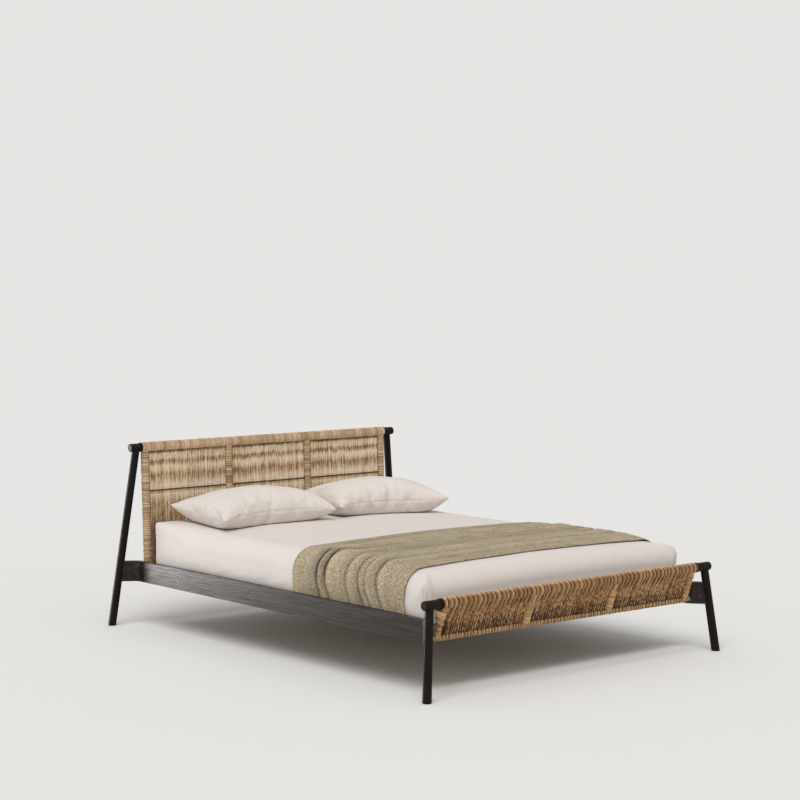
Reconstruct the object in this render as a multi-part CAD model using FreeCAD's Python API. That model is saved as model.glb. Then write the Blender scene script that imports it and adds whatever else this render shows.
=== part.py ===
import FreeCAD, Part
import math
import os

os.makedirs("parts", exist_ok=True)

Vector = FreeCAD.Vector
UP = Vector(0, 0, 1)
ACROSS = Vector(1, 0, 0)
ALONG = Vector(0, 1, 0)

# A bed on four splayed round legs, with a cord-woven headboard and footboard.
# Millimetres. X runs across the bed, +Y to the head, +Z up from the floor.
# The origin is on the floor, midway between the feet of the legs.

# Mattress and fitted sheet
mattress_width = 1524.0
mattress_length = 2030.0
mattress_edge_height = 218.0
mattress_crown = 14.0
mattress_edge_round = 80.0
mattress_corner_round = 24.0
mattress_corner_drop = 22.0
mattress_recess = 36.0
mattress_clearance = 14.0
sheet_thickness = 2.0
seat_clearance = 0.3

# Side rails, with ends that bend out to the legs
rail_thickness = 25.0
rail_height = 100.0
rail_clear_height = 218.0
rail_bend_radius = 60.0
head_bend_gap = 106.4
head_stub_reach = 85.5
head_stub_run = 44.4
foot_bend_gap = 52.3
foot_stub_reach = 56.5
foot_stub_run = 67.3

# Legs and cross bars
leg_foot_diameter = 39.0
leg_top_diameter = 37.0
leg_tenon_diameter = 22.0
leg_shoulder_drop = 11.0
head_leg_splay_out = 111.3
head_leg_splay_back = 58.3
foot_leg_splay_out = 44.7
foot_leg_splay_back = 36.4
bar_diameter = 40.0
bar_end_round = 4.0
head_bar_height = 877.0
head_bar_overhang = 37.5
foot_bar_height = 390.3
foot_bar_overhang = 32.2
collar_diameter = 46.0
collar_width = 8.0
glide_diameter = 30.0
glide_height = 3.0

# Woven boards: posts and lower bars under the cord
cord_diameter = 5.0
board_side_gap = 6.0
field_thickness = 14.0
mullion_place_share = 1.0 / 3.0
post_tenon_diameter = 14.0
headboard_post_diameter = 32.0
headboard_low_bar_diameter = 30.0
headboard_low_bar_height = 275.0
headboard_lean = 23.0
footboard_post_diameter = 26.0
footboard_low_bar_diameter = 22.0
footboard_low_bar_height = 240.0
footboard_lean = 52.0

# Slatted base
slat_count = 12
slat_width = 90.0
slat_thickness = 18.0
slat_end_clearance = 6.0
ledger_thickness = 20.0
ledger_height = 30.0
ledger_end_gap = 8.0
cross_rail_thickness = 25.0
cross_rail_drop = 68.0
beam_width = 50.0
beam_height = 50.0
centre_leg_diameter = 40.0
centre_leg_tenon_diameter = 20.0
centre_leg_tenon_length = 25.0

# Fixings
bolt_diameter = 8.0
bolt_length = 66.0
bolt_depth_in_leg = 10.0
bolt_spread = 46.0
cross_dowel_diameter = 14.0
cross_dowel_length = 84.0
cross_dowel_distance = 42.0
dowel_diameter = 8.0
dowel_length = 30.0
beam_dowel_spread = 26.0
bracket_leg = 45.0
bracket_height = 40.0
bracket_thickness = 3.0
screw_diameter = 4.0
screw_head_diameter = 8.0
screw_head_height = 2.5
wood_screw_length = 34.0
bracket_screw_length = 19.0
bracket_screw_spread = 22.0
ledger_screw_count = 5

# Pillows
pillow_length = 690.0
pillow_depth = 465.0
pillow_rise = 92.0
pillow_sag = 72.0
pillow_edge = 3.0
pillow_draw_in = 20.0
pillow_head_gap = 262.0
pillow_seat_clearance = 1.2
left_pillow_centre = 358.0
left_pillow_turn_degrees = -3.0
right_pillow_centre = 364.0
right_pillow_advance = 34.0
right_pillow_turn_degrees = -9.0

# Throw across the foot half of the bed
throw_width = 772.0
throw_foot_gap = 126.0
throw_thickness = 4.0
throw_clearance = 0.3
throw_hem_below_rail = 12.0
throw_left_fold = 20.0
throw_right_fold = 16.0
throw_top_fold = 5.0

# Share of the throw's width from its head edge, then the share of the fold's height
# on the left side, on the right side and on top
throw_fold_shares = (
    (0.00, 0.25, 0.20, 0.50),
    (0.10, 1.00, 0.30, 1.00),
    (0.20, 0.05, 0.70, 0.30),
    (0.26, 0.70, 0.90, 0.80),
    (0.31, 0.05, 1.00, 0.20),
    (0.41, 0.75, 0.50, 0.70),
    (0.52, 0.15, 0.10, 0.20),
    (0.61, 0.55, 0.70, 0.60),
    (0.70, 0.15, 0.90, 0.20),
    (0.76, 0.45, 0.50, 0.50),
    (0.82, 0.15, 0.10, 0.20),
    (0.91, 0.35, 0.60, 0.50),
    (1.00, 0.20, 0.20, 0.30),
)

# Places along a pillow as shares of its half length, with the share of its full height there
pillow_shares = (
    (-1.00, 0.00),
    (-0.94, 0.30),
    (-0.80, 0.66),
    (-0.50, 0.93),
    (0.00, 1.00),
    (0.50, 0.93),
    (0.80, 0.66),
    (0.94, 0.30),
    (1.00, 0.00),
)

# Places along the mattress, as shares of the edge round measured from its end
mattress_end_shares = (0.0, 0.05, 0.2, 0.5, 1.0, 5.0)

# Places worked out from the sizes above
overrun = leg_foot_diameter
rail_top = rail_clear_height + rail_height
rail_middle_height = rail_clear_height + rail_height / 2
rail_inner = mattress_width / 2 + mattress_clearance
rail_middle = rail_inner + rail_thickness / 2
deck_height = rail_top - mattress_recess
mattress_bottom = deck_height + seat_clearance

head_out_slope = head_leg_splay_out / head_bar_height
head_back_slope = head_leg_splay_back / head_bar_height
foot_out_slope = foot_leg_splay_out / foot_bar_height
foot_back_slope = foot_leg_splay_back / foot_bar_height

foot_reach = foot_bend_gap + foot_stub_run + foot_back_slope * rail_middle_height
head_reach = head_bend_gap + head_stub_run + head_back_slope * rail_middle_height
feet_spacing = foot_reach + mattress_length + head_reach
mattress_foot = foot_reach - feet_spacing / 2
mattress_head = mattress_foot + mattress_length

head_leg_at_rail = Vector(rail_middle + head_stub_reach, mattress_head + head_bend_gap + head_stub_run,
                          rail_middle_height)
foot_leg_at_rail = Vector(rail_middle + foot_stub_reach, mattress_foot - foot_bend_gap - foot_stub_run,
                          rail_middle_height)
head_leg_lean = Vector(-head_out_slope, -head_back_slope, 1)
foot_leg_lean = Vector(-foot_out_slope, foot_back_slope, 1)

board_half_width = rail_inner - board_side_gap


def at_height(point, lean, height):
    """Point of a leaning axis at a height above the floor."""
    return point + lean * (height - point.z)


def rod(start, end, diameter):
    """Round bar between two points."""
    run = end - start
    return Part.makeCylinder(diameter / 2, run.Length, start, run)


def block(low, high):
    """Box between its lowest and highest corners."""
    size = high - low
    return Part.makeBox(size.x, size.y, size.z, low)


def mirrored(shape):
    """The same piece on the other side of the bed."""
    return shape.mirror(Vector(0, 0, 0), ACROSS)


def group(solids):
    """Separate solids kept together in one node."""
    return Part.makeCompound(solids)


def cut_all(shape, tools):
    """Shape with every tool taken out of it."""
    for tool in tools:
        shape = shape.cut(tool)
    return shape


head_bar_axis = at_height(head_leg_at_rail, head_leg_lean, head_bar_height)
foot_bar_axis = at_height(foot_leg_at_rail, foot_leg_lean, foot_bar_height)


# Legs


def leg_body(at_rail, lean, bar_axis):
    """Tapered leg from the top of its glide to shoulders just below the axis of its bar."""
    foot = at_height(at_rail, lean, 0)
    top = at_height(bar_axis, lean, bar_axis.z - leg_shoulder_drop)
    run = top - foot
    growth = (leg_foot_diameter - leg_top_diameter) / 2 / run.Length
    start = foot - lean * overrun
    full_run = top - start
    start_radius = leg_top_diameter / 2 + growth * full_run.Length
    cone = Part.makeCone(start_radius, leg_top_diameter / 2, full_run.Length, start, full_run)
    floor_cut = block(Vector(foot.x - 2 * overrun, foot.y - 2 * overrun, -2 * overrun),
                      Vector(foot.x + 2 * overrun, foot.y + 2 * overrun, glide_height))
    return cone.cut(floor_cut)


def leg_tenon(lean, bar_axis):
    """Tenon from the leg's top to the axis of the bar."""
    direction = Vector(lean)
    direction.normalize()
    return rod(bar_axis - direction * bar_diameter, bar_axis, leg_tenon_diameter)


def plain_bar(axis_point, overhang):
    """Round bar across the bed with rounded ends."""
    half = axis_point.x + overhang
    bar = rod(Vector(-half, axis_point.y, axis_point.z), Vector(half, axis_point.y, axis_point.z), bar_diameter)
    ends = [edge for edge in bar.Edges if isinstance(edge.Curve, Part.Circle)]
    return bar.makeFillet(bar_end_round, ends)


def collar(axis_point):
    """Collar on the bar's right end, where the cord stops."""
    start = Vector(board_half_width, axis_point.y, axis_point.z)
    return rod(start, start + ACROSS * collar_width, collar_diameter)


head_bar_blank = plain_bar(head_bar_axis, head_bar_overhang)
foot_bar_blank = plain_bar(foot_bar_axis, foot_bar_overhang)
head_leg_blank = leg_body(head_leg_at_rail, head_leg_lean, head_bar_axis)
foot_leg_blank = leg_body(foot_leg_at_rail, foot_leg_lean, foot_bar_axis)
head_tenon = leg_tenon(head_leg_lean, head_bar_axis)
foot_tenon = leg_tenon(foot_leg_lean, foot_bar_axis)
head_leg = head_leg_blank.cut(head_bar_blank).fuse(head_tenon)
foot_leg = foot_leg_blank.cut(foot_bar_blank).fuse(foot_tenon)


# Side rails


def path_side(corners, radius, offset):
    """Edges beside a cornered plan line, with rounded corners; a positive offset is to its left."""
    runs = []
    for start, end in zip(corners, corners[1:]):
        run = end - start
        run.normalize()
        runs.append(run)
    edges = []
    start = corners[0] + UP.cross(runs[0]) * offset
    for corner, before, after in zip(corners[1:-1], runs, runs[1:]):
        turn = math.atan2(before.cross(after).z, before.dot(after))
        side = math.copysign(1, turn)
        tangent = radius * math.tan(abs(turn) / 2)
        centre = corner - before * tangent + UP.cross(before) * side * radius
        outward = corner - centre
        outward.normalize()
        bend_start = corner - before * tangent + UP.cross(before) * offset
        bend_middle = centre + outward * (radius - side * offset)
        bend_end = corner + after * tangent + UP.cross(after) * offset
        edges.append(Part.LineSegment(start, bend_start).toShape())
        edges.append(Part.Arc(bend_start, bend_middle, bend_end).toShape())
        start = bend_end
    end = corners[-1] + UP.cross(runs[-1]) * offset
    edges.append(Part.LineSegment(start, end).toShape())
    return edges


def first_point(edges):
    return edges[0].Vertexes[0].Point


def last_point(edges):
    return edges[-1].Vertexes[-1].Point


rail_low = Vector(0, 0, rail_clear_height)
head_corner = Vector(rail_middle, mattress_head + head_bend_gap, 0)
foot_corner = Vector(rail_middle, mattress_foot - foot_bend_gap, 0)
foot_end = Vector(foot_leg_at_rail.x, foot_leg_at_rail.y, 0)
head_end = Vector(head_leg_at_rail.x, head_leg_at_rail.y, 0)
rail_path = [point + rail_low for point in (foot_end, foot_corner, head_corner, head_end)]
inner_side = path_side(rail_path, rail_bend_radius, rail_thickness / 2)
outer_side = path_side(rail_path, rail_bend_radius, -rail_thickness / 2)
rail_caps = [
    Part.LineSegment(first_point(inner_side), first_point(outer_side)).toShape(),
    Part.LineSegment(last_point(inner_side), last_point(outer_side)).toShape(),
]
rail_outline = Part.Wire(Part.__sortEdges__(inner_side + outer_side + rail_caps))
rail_blank = Part.Face(rail_outline).extrude(UP * rail_height)
rail_blank = cut_all(rail_blank, [head_leg_blank, foot_leg_blank])


# Bolts from the legs into the rails, and the upright cross dowels that they screw into


def stub_direction(corner, end):
    direction = corner - end
    direction.normalize()
    return direction


def joint_bolts(at_rail, direction):
    bolts = []
    for step in (-1, 1):
        middle = at_rail + UP * (step * bolt_spread / 2)
        start = middle - direction * bolt_depth_in_leg
        bolts.append(rod(start, start + direction * bolt_length, bolt_diameter))
    return bolts


def joint_cross_dowel(at_rail, direction):
    middle = at_rail + direction * cross_dowel_distance
    foot = Vector(middle.x, middle.y, rail_clear_height)
    return rod(foot, foot + UP * cross_dowel_length, cross_dowel_diameter)


head_stub = stub_direction(head_corner, head_end)
foot_stub = stub_direction(foot_corner, foot_end)
head_bolts = joint_bolts(head_leg_at_rail, head_stub)
foot_bolts = joint_bolts(foot_leg_at_rail, foot_stub)
right_bolts = head_bolts + foot_bolts
right_cross_dowels = [
    joint_cross_dowel(head_leg_at_rail, head_stub),
    joint_cross_dowel(foot_leg_at_rail, foot_stub),
]
head_leg = cut_all(head_leg, head_bolts)
foot_leg = cut_all(foot_leg, foot_bolts)


# Woven boards


def board(bar_axis, lean_step, low_bar_height, post_diameter, low_bar_diameter):
    """Posts, lower bar, cord wraps and woven fields of one board, as a dictionary of shapes."""
    low = Vector(0, bar_axis.y + lean_step, low_bar_height)
    top = Vector(0, bar_axis.y, bar_axis.z)
    direction = top - low
    direction.normalize()
    wrap_diameter = post_diameter + 2 * cord_diameter
    low_wrap_diameter = low_bar_diameter + 2 * cord_diameter
    bar_wrap_diameter = bar_diameter + 2 * cord_diameter
    stile_place = board_half_width - wrap_diameter / 2
    mullion_place = stile_place * mullion_place_share
    places = (-stile_place, -mullion_place, mullion_place, stile_place)

    half = ACROSS * board_half_width
    bar_core = rod(top - half, top + half, bar_diameter)
    low_core = rod(low - half, low + half, low_bar_diameter)
    bar_sleeve = rod(top - half, top + half, bar_wrap_diameter)
    low_sleeve = rod(low - half, low + half, low_wrap_diameter)

    posts = []
    tenons = []
    wraps = []
    for place in places:
        shift = ACROSS * place
        plain = rod(low + shift, top + shift, post_diameter)
        tenon = rod(low + shift, top + shift, post_tenon_diameter)
        posts.append(cut_all(plain, [bar_core.cut(tenon), low_core.cut(tenon)]))
        tenons.append(tenon)
        wrap = rod(low + shift, top + shift, wrap_diameter)
        wraps.append(cut_all(wrap, [plain, bar_sleeve, low_sleeve]))

    fields = []
    depth = direction.cross(ACROSS) * field_thickness
    for left, right in zip(places, places[1:]):
        corner = low + ACROSS * left - depth / 2
        corners = [corner, corner + depth, corner + depth + (top - low), corner + (top - low)]
        face = Part.Face(Part.makePolygon(corners + corners[:1]))
        field = face.extrude(ACROSS * (right - left))
        sleeves = [rod(low + ACROSS * place, top + ACROSS * place, wrap_diameter) for place in (left, right)]
        fields.append(cut_all(field, sleeves + [bar_sleeve, low_sleeve]))

    plain_posts = [rod(low + ACROSS * place, top + ACROSS * place, post_diameter) for place in places]
    bar_wrap = cut_all(bar_sleeve, [bar_core] + plain_posts)
    low_wrap = cut_all(low_sleeve, [low_core] + plain_posts)
    return {
        "low": low,
        "tenons": tenons,
        "posts": posts,
        "bar_wrap": bar_wrap,
        "frame_wraps": wraps + [low_wrap],
        "fields": fields,
    }


def low_bar(low, diameter, tenons):
    """Lower bar of a board, shaped to the side rails at its ends."""
    reach = ACROSS * (rail_middle + rail_thickness / 2)
    bar = rod(low - reach, low + reach, diameter)
    bar = cut_all(bar, [rail_blank, mirrored(rail_blank)] + tenons)
    return max(bar.Solids, key=lambda solid: solid.Volume)


def end_dowel(low):
    """Dowel between the right end of a lower bar and the rail."""
    middle = Vector(rail_inner, low.y, low.z)
    return rod(middle - ACROSS * dowel_length / 2, middle + ACROSS * dowel_length / 2, dowel_diameter)


headboard = board(head_bar_axis, -headboard_lean, headboard_low_bar_height,
                  headboard_post_diameter, headboard_low_bar_diameter)
footboard = board(foot_bar_axis, footboard_lean, footboard_low_bar_height,
                  footboard_post_diameter, footboard_low_bar_diameter)


def finished_bar(blank, axis_point, tenon, post_tenons):
    """Cross bar with its collars and the mortises for legs and posts."""
    right_collar = collar(axis_point)
    bar = blank.fuse([right_collar, mirrored(right_collar)]).removeSplitter()
    return cut_all(bar, [tenon, mirrored(tenon)] + post_tenons)


head_bar = finished_bar(head_bar_blank, head_bar_axis, head_tenon, headboard["tenons"])
foot_bar = finished_bar(foot_bar_blank, foot_bar_axis, foot_tenon, footboard["tenons"])

right_board_dowels = [end_dowel(headboard["low"]), end_dowel(footboard["low"])]
both_board_dowels = right_board_dowels + [mirrored(dowel) for dowel in right_board_dowels]
headboard_low_bar = low_bar(headboard["low"], headboard_low_bar_diameter, headboard["tenons"])
footboard_low_bar = low_bar(footboard["low"], footboard_low_bar_diameter, footboard["tenons"])
headboard_low_bar = cut_all(headboard_low_bar, both_board_dowels)
footboard_low_bar = cut_all(footboard_low_bar, both_board_dowels)


# Slatted base


def screw(head_middle, direction, length):
    """Countersunk screw with its head face at a point, pointing along a direction."""
    shank = rod(head_middle, head_middle + direction * length, screw_diameter)
    head = Part.makeCone(screw_head_diameter / 2, screw_diameter / 2, screw_head_height, head_middle, direction)
    return shank.fuse(head).removeSplitter()


cross_rail_bottom = deck_height - cross_rail_drop
head_cross_inner = mattress_head - cross_rail_thickness
foot_cross_inner = mattress_foot + cross_rail_thickness
head_cross_rail = block(Vector(-rail_inner, head_cross_inner, cross_rail_bottom),
                        Vector(rail_inner, mattress_head, deck_height))
foot_cross_rail = block(Vector(-rail_inner, mattress_foot, cross_rail_bottom),
                        Vector(rail_inner, foot_cross_inner, deck_height))

slat_bottom = deck_height - slat_thickness
ledger_bottom = slat_bottom - ledger_height
ledger_foot = foot_cross_inner + bracket_leg + ledger_end_gap
ledger_head = head_cross_inner - bracket_leg - ledger_end_gap
right_ledger = block(Vector(rail_inner - ledger_thickness, ledger_foot, ledger_bottom),
                     Vector(rail_inner, ledger_head, slat_bottom))

ledger_screws = []
ledger_screw_step = (ledger_head - ledger_foot) / ledger_screw_count
for index in range(ledger_screw_count):
    place = ledger_foot + ledger_screw_step * (index + 0.5)
    head_middle = Vector(rail_inner - ledger_thickness, place, slat_bottom - ledger_height / 2)
    ledger_screws.append(screw(head_middle, ACROSS, wood_screw_length))

slat_half_length = rail_inner - slat_end_clearance
slat_step = (ledger_head - ledger_foot - slat_width) / (slat_count - 1)
slats = []
slat_screws = []
for index in range(slat_count):
    place = ledger_foot + slat_width / 2 + slat_step * index
    slat = block(Vector(-slat_half_length, place - slat_width / 2, slat_bottom),
                 Vector(slat_half_length, place + slat_width / 2, deck_height))
    head_middle = Vector(rail_inner - ledger_thickness / 2, place, deck_height)
    fixing = screw(head_middle, -UP, wood_screw_length)
    slats.append(cut_all(slat, [fixing, mirrored(fixing)]))
    slat_screws.append(fixing)

beam_bottom = slat_bottom - beam_height
beam_blank = block(Vector(-beam_width / 2, foot_cross_inner, beam_bottom),
                   Vector(beam_width / 2, head_cross_inner, slat_bottom))
beam_dowels = []
for face in (foot_cross_inner, head_cross_inner):
    for step in (-1, 1):
        middle = Vector(step * beam_dowel_spread / 2, face, slat_bottom - beam_height / 2)
        reach = ALONG * (dowel_length / 2)
        beam_dowels.append(rod(middle - reach, middle + reach, dowel_diameter))
centre_post = rod(UP * glide_height, UP * beam_bottom, centre_leg_diameter)
centre_tenon = rod(UP * beam_bottom, UP * (beam_bottom + centre_leg_tenon_length), centre_leg_tenon_diameter)
centre_leg = centre_post.fuse(centre_tenon).removeSplitter()
centre_beam = cut_all(beam_blank, beam_dowels + [centre_tenon])


def corner_bracket(cross_inner, inward):
    """Steel angle in the right corner between a side rail and a cross rail; inward is +1 or -1 along Y."""
    low = slat_bottom - ledger_height / 2 - bracket_height / 2
    corner = Vector(rail_inner, cross_inner, low)
    outline = [
        corner,
        corner - ACROSS * bracket_leg,
        corner - ACROSS * bracket_leg + ALONG * (inward * bracket_thickness),
        corner - ACROSS * bracket_thickness + ALONG * (inward * bracket_thickness),
        corner - ACROSS * bracket_thickness + ALONG * (inward * bracket_leg),
        corner + ALONG * (inward * bracket_leg),
    ]
    return Part.Face(Part.makePolygon(outline + outline[:1])).extrude(UP * bracket_height)


def bracket_fixings(cross_inner, inward):
    """Screws of one corner bracket: two into the side rail and two into the cross rail."""
    height = slat_bottom - ledger_height / 2
    far = bracket_thickness + (bracket_leg - bracket_thickness) / 2
    fixings = []
    for step in (-1, 1):
        level = height + step * bracket_screw_spread / 2
        rail_head = Vector(rail_inner - bracket_thickness, cross_inner + inward * far, level)
        cross_head = Vector(rail_inner - far, cross_inner + inward * bracket_thickness, level)
        fixings.append(screw(rail_head, ACROSS, bracket_screw_length))
        fixings.append(screw(cross_head, ALONG * -inward, bracket_screw_length))
    return fixings


right_brackets = []
right_bracket_screws = []
for cross_inner, inward in ((foot_cross_inner, 1), (head_cross_inner, -1)):
    fixings = bracket_fixings(cross_inner, inward)
    right_brackets.append(cut_all(corner_bracket(cross_inner, inward), fixings))
    right_bracket_screws += fixings
bracket_screws = right_bracket_screws + [mirrored(item) for item in right_bracket_screws]

right_wood_screws = ledger_screws + slat_screws
right_ledger = cut_all(right_ledger, right_wood_screws)
right_rail = cut_all(rail_blank, right_bolts + right_cross_dowels + right_board_dowels)
right_rail = cut_all(right_rail, ledger_screws + right_bracket_screws)
head_cross_rail = cut_all(head_cross_rail, beam_dowels + bracket_screws)
foot_cross_rail = cut_all(foot_cross_rail, beam_dowels + bracket_screws)
right_cross_dowels = [cut_all(item, right_bolts) for item in right_cross_dowels]


# Glides under the legs


def glide(at_rail, lean):
    foot = at_height(at_rail, lean, 0)
    return rod(foot, foot + UP * glide_height, glide_diameter)


right_glides = [glide(head_leg_at_rail, head_leg_lean), glide(foot_leg_at_rail, foot_leg_lean)]
centre_glide = rod(Vector(0, 0, 0), UP * glide_height, glide_diameter)


# Mattress and fitted sheet


def padded_section(place, half_width, bottom, edge_top, middle_top, shoulder):
    """Upright section across the bed: flat below, rounded at the shoulders and crowned on top."""
    slack = shoulder * (1 - math.sqrt(0.5))
    corner = Vector(half_width - slack, place, edge_top - slack)
    low = Vector(half_width, place, bottom)
    side = Vector(half_width, place, edge_top - shoulder)
    top = Vector(half_width - shoulder, place, edge_top)
    crest = Vector(0, place, middle_top)
    flip = [Vector(-point.x, point.y, point.z) for point in (low, side, corner, top)]
    edges = [
        Part.LineSegment(flip[0], low).toShape(),
        Part.LineSegment(low, side).toShape(),
        Part.Arc(side, corner, top).toShape(),
        Part.Arc(top, crest, flip[3]).toShape(),
        Part.Arc(flip[3], flip[2], flip[1]).toShape(),
        Part.LineSegment(flip[1], flip[0]).toShape(),
    ]
    return Part.Wire(edges)


def padded_block(grow, bottom):
    """Crowned mattress form, grown on its top and sides."""
    edge_top = mattress_bottom + mattress_edge_height + grow
    from_ends = [share * mattress_edge_round for share in mattress_end_shares]
    foot_places = [mattress_foot - grow + step for step in from_ends]
    head_places = [mattress_head + grow - step for step in reversed(from_ends)]
    rounds = [1 - math.sqrt(1 - (1 - min(share, 1)) ** 2) for share in mattress_end_shares]
    sections = []
    for place, end_round in zip(foot_places + head_places, rounds + rounds[::-1]):
        shoulder = mattress_edge_round * (1 - end_round) + mattress_corner_round * end_round
        sections.append(padded_section(
            place,
            mattress_width / 2 + grow,
            bottom,
            edge_top - mattress_corner_drop * end_round,
            edge_top + mattress_crown - (mattress_edge_round + mattress_crown) * end_round,
            shoulder + grow,
        ))
    return Part.makeLoft(sections, True, True)


mattress = padded_block(0, mattress_bottom)
sheet_inside = padded_block(0, mattress_bottom - overrun)
fitted_sheet = padded_block(sheet_thickness, mattress_bottom).cut(sheet_inside)


# Pillows


def pillow_section(place, half_depth, rise, sag):
    """Upright section along a pillow's depth: a crowned arc above and a flatter one below."""
    front = Vector(place, -half_depth, 0)
    back = Vector(place, half_depth, 0)
    upper = Part.Arc(front, Vector(place, 0, rise), back).toShape()
    lower = Part.Arc(back, Vector(place, 0, -sag), front).toShape()
    return Part.Wire([upper, lower])


def sheet_top(place):
    """Height of the sheet's crowned top at a distance from the middle of the bed."""
    half_chord = mattress_width / 2 - mattress_edge_round
    crown_radius = (half_chord ** 2 + mattress_crown ** 2) / 2 / mattress_crown
    fall = crown_radius - math.sqrt(crown_radius ** 2 - place ** 2)
    return mattress_bottom + mattress_edge_height + sheet_thickness + mattress_crown - fall


def pillow(across, along, turn_degrees):
    """Crowned pillow with drawn-in sides, turned and lying on the sheet."""
    sections = []
    for place_share, height_share in pillow_shares:
        half_depth = pillow_depth / 2 - pillow_draw_in * (1 - place_share ** 2)
        rise = pillow_edge + (pillow_rise - pillow_edge) * height_share
        sag = pillow_edge + (pillow_sag - pillow_edge) * height_share
        sections.append(pillow_section(place_share * pillow_length / 2, half_depth, rise, sag))
    form = Part.makeLoft(sections, True)
    form.rotate(Vector(0, 0, 0), UP, turn_degrees)
    form.translate(Vector(across, along, sheet_top(across) + pillow_seat_clearance + pillow_sag))
    return form


pillow_line = mattress_head - pillow_head_gap
left_pillow = pillow(-left_pillow_centre, pillow_line, left_pillow_turn_degrees)
right_pillow = pillow(right_pillow_centre, pillow_line - right_pillow_advance, right_pillow_turn_degrees)


# Throw


def throw_line(place, grow, left_fold, right_fold, top_fold):
    """Corner points and arc points of the cloth's section, from the left hem over the bed to the right hem."""
    hem = rail_top - throw_hem_below_rail
    half_width = mattress_width / 2 + sheet_thickness + throw_clearance + grow
    edge_top = mattress_bottom + mattress_edge_height + sheet_thickness + throw_clearance + grow + top_fold
    shoulder = mattress_edge_round + sheet_thickness + throw_clearance + grow
    slack = shoulder * (1 - math.sqrt(0.5))
    points = []
    for side, fold in ((-1, left_fold), (1, right_fold)):
        out = half_width + fold
        points.append((
            Vector(side * half_width, place, hem),
            Vector(side * out, place, edge_top - shoulder),
            Vector(side * (out - slack), place, edge_top - slack),
            Vector(side * (half_width - shoulder), place, edge_top),
        ))
    crest = Vector(0, place, edge_top + mattress_crown)
    return points[0], crest, points[1]


def throw_section(place, left_fold, right_fold, top_fold):
    left_in, crest_in, right_in = throw_line(place, 0, left_fold, right_fold, top_fold)
    left_out, crest_out, right_out = throw_line(place, throw_thickness, left_fold, right_fold, top_fold)
    edges = [
        Part.LineSegment(left_in[0], left_in[1]).toShape(),
        Part.Arc(left_in[1], left_in[2], left_in[3]).toShape(),
        Part.Arc(left_in[3], crest_in, right_in[3]).toShape(),
        Part.Arc(right_in[3], right_in[2], right_in[1]).toShape(),
        Part.LineSegment(right_in[1], right_in[0]).toShape(),
        Part.LineSegment(right_in[0], right_out[0]).toShape(),
        Part.LineSegment(right_out[0], right_out[1]).toShape(),
        Part.Arc(right_out[1], right_out[2], right_out[3]).toShape(),
        Part.Arc(right_out[3], crest_out, left_out[3]).toShape(),
        Part.Arc(left_out[3], left_out[2], left_out[1]).toShape(),
        Part.LineSegment(left_out[1], left_out[0]).toShape(),
        Part.LineSegment(left_out[0], left_in[0]).toShape(),
    ]
    return Part.Wire(edges)


throw_head_edge = mattress_foot + throw_foot_gap + throw_width
throw_sections = []
for place_share, left_share, right_share, top_share in throw_fold_shares:
    throw_sections.append(throw_section(
        throw_head_edge - place_share * throw_width,
        left_share * throw_left_fold,
        right_share * throw_right_fold,
        top_share * throw_top_fold,
    ))
throw = Part.makeLoft(throw_sections, True, True)


# Nodes


def both_sides(right_solids):
    return group(right_solids + [mirrored(item) for item in right_solids])


nodes = {
    "head_leg_right": head_leg,
    "head_leg_left": mirrored(head_leg),
    "foot_leg_right": foot_leg,
    "foot_leg_left": mirrored(foot_leg),
    "leg_glides": group(right_glides + [mirrored(item) for item in right_glides] + [centre_glide]),
    "head_bar": head_bar,
    "foot_bar": foot_bar,
    "side_rail_right": right_rail,
    "side_rail_left": mirrored(right_rail),
    "rail_bolts": both_sides(right_bolts),
    "cross_dowels": both_sides(right_cross_dowels),
    "head_cross_rail": head_cross_rail,
    "foot_cross_rail": foot_cross_rail,
    "corner_brackets": both_sides(right_brackets),
    "bracket_screws": group(bracket_screws),
    "centre_beam": centre_beam,
    "centre_leg": centre_leg,
    "slat_ledger_right": right_ledger,
    "slat_ledger_left": mirrored(right_ledger),
    "wood_screws": both_sides(right_wood_screws),
    "dowels": group(both_board_dowels + beam_dowels),
    "mattress": mattress,
    "fitted_sheet": fitted_sheet,
    "pillow_left": left_pillow,
    "pillow_right": right_pillow,
    "throw": throw,
}
for index, slat in enumerate(slats):
    nodes[f"slat_{index + 1:02d}"] = slat
post_names = ("stile_left", "mullion_left", "mullion_right", "stile_right")
field_names = ("left", "centre", "right")
for name, pieces, lower in (
    ("headboard", headboard, headboard_low_bar),
    ("footboard", footboard, footboard_low_bar),
):
    for post_name, post in zip(post_names, pieces["posts"]):
        nodes[f"{name}_{post_name}"] = post
    for field_name, field in zip(field_names, pieces["fields"]):
        nodes[f"{name}_weave_{field_name}"] = field
    nodes[f"{name}_low_bar"] = lower
    nodes[f"{name}_bar_wrap"] = pieces["bar_wrap"]
    nodes[f"{name}_frame_wraps"] = group(pieces["frame_wraps"])

for name, shape in nodes.items():
    shape.exportStep(f"parts/{name}.step")
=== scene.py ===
import math

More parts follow.
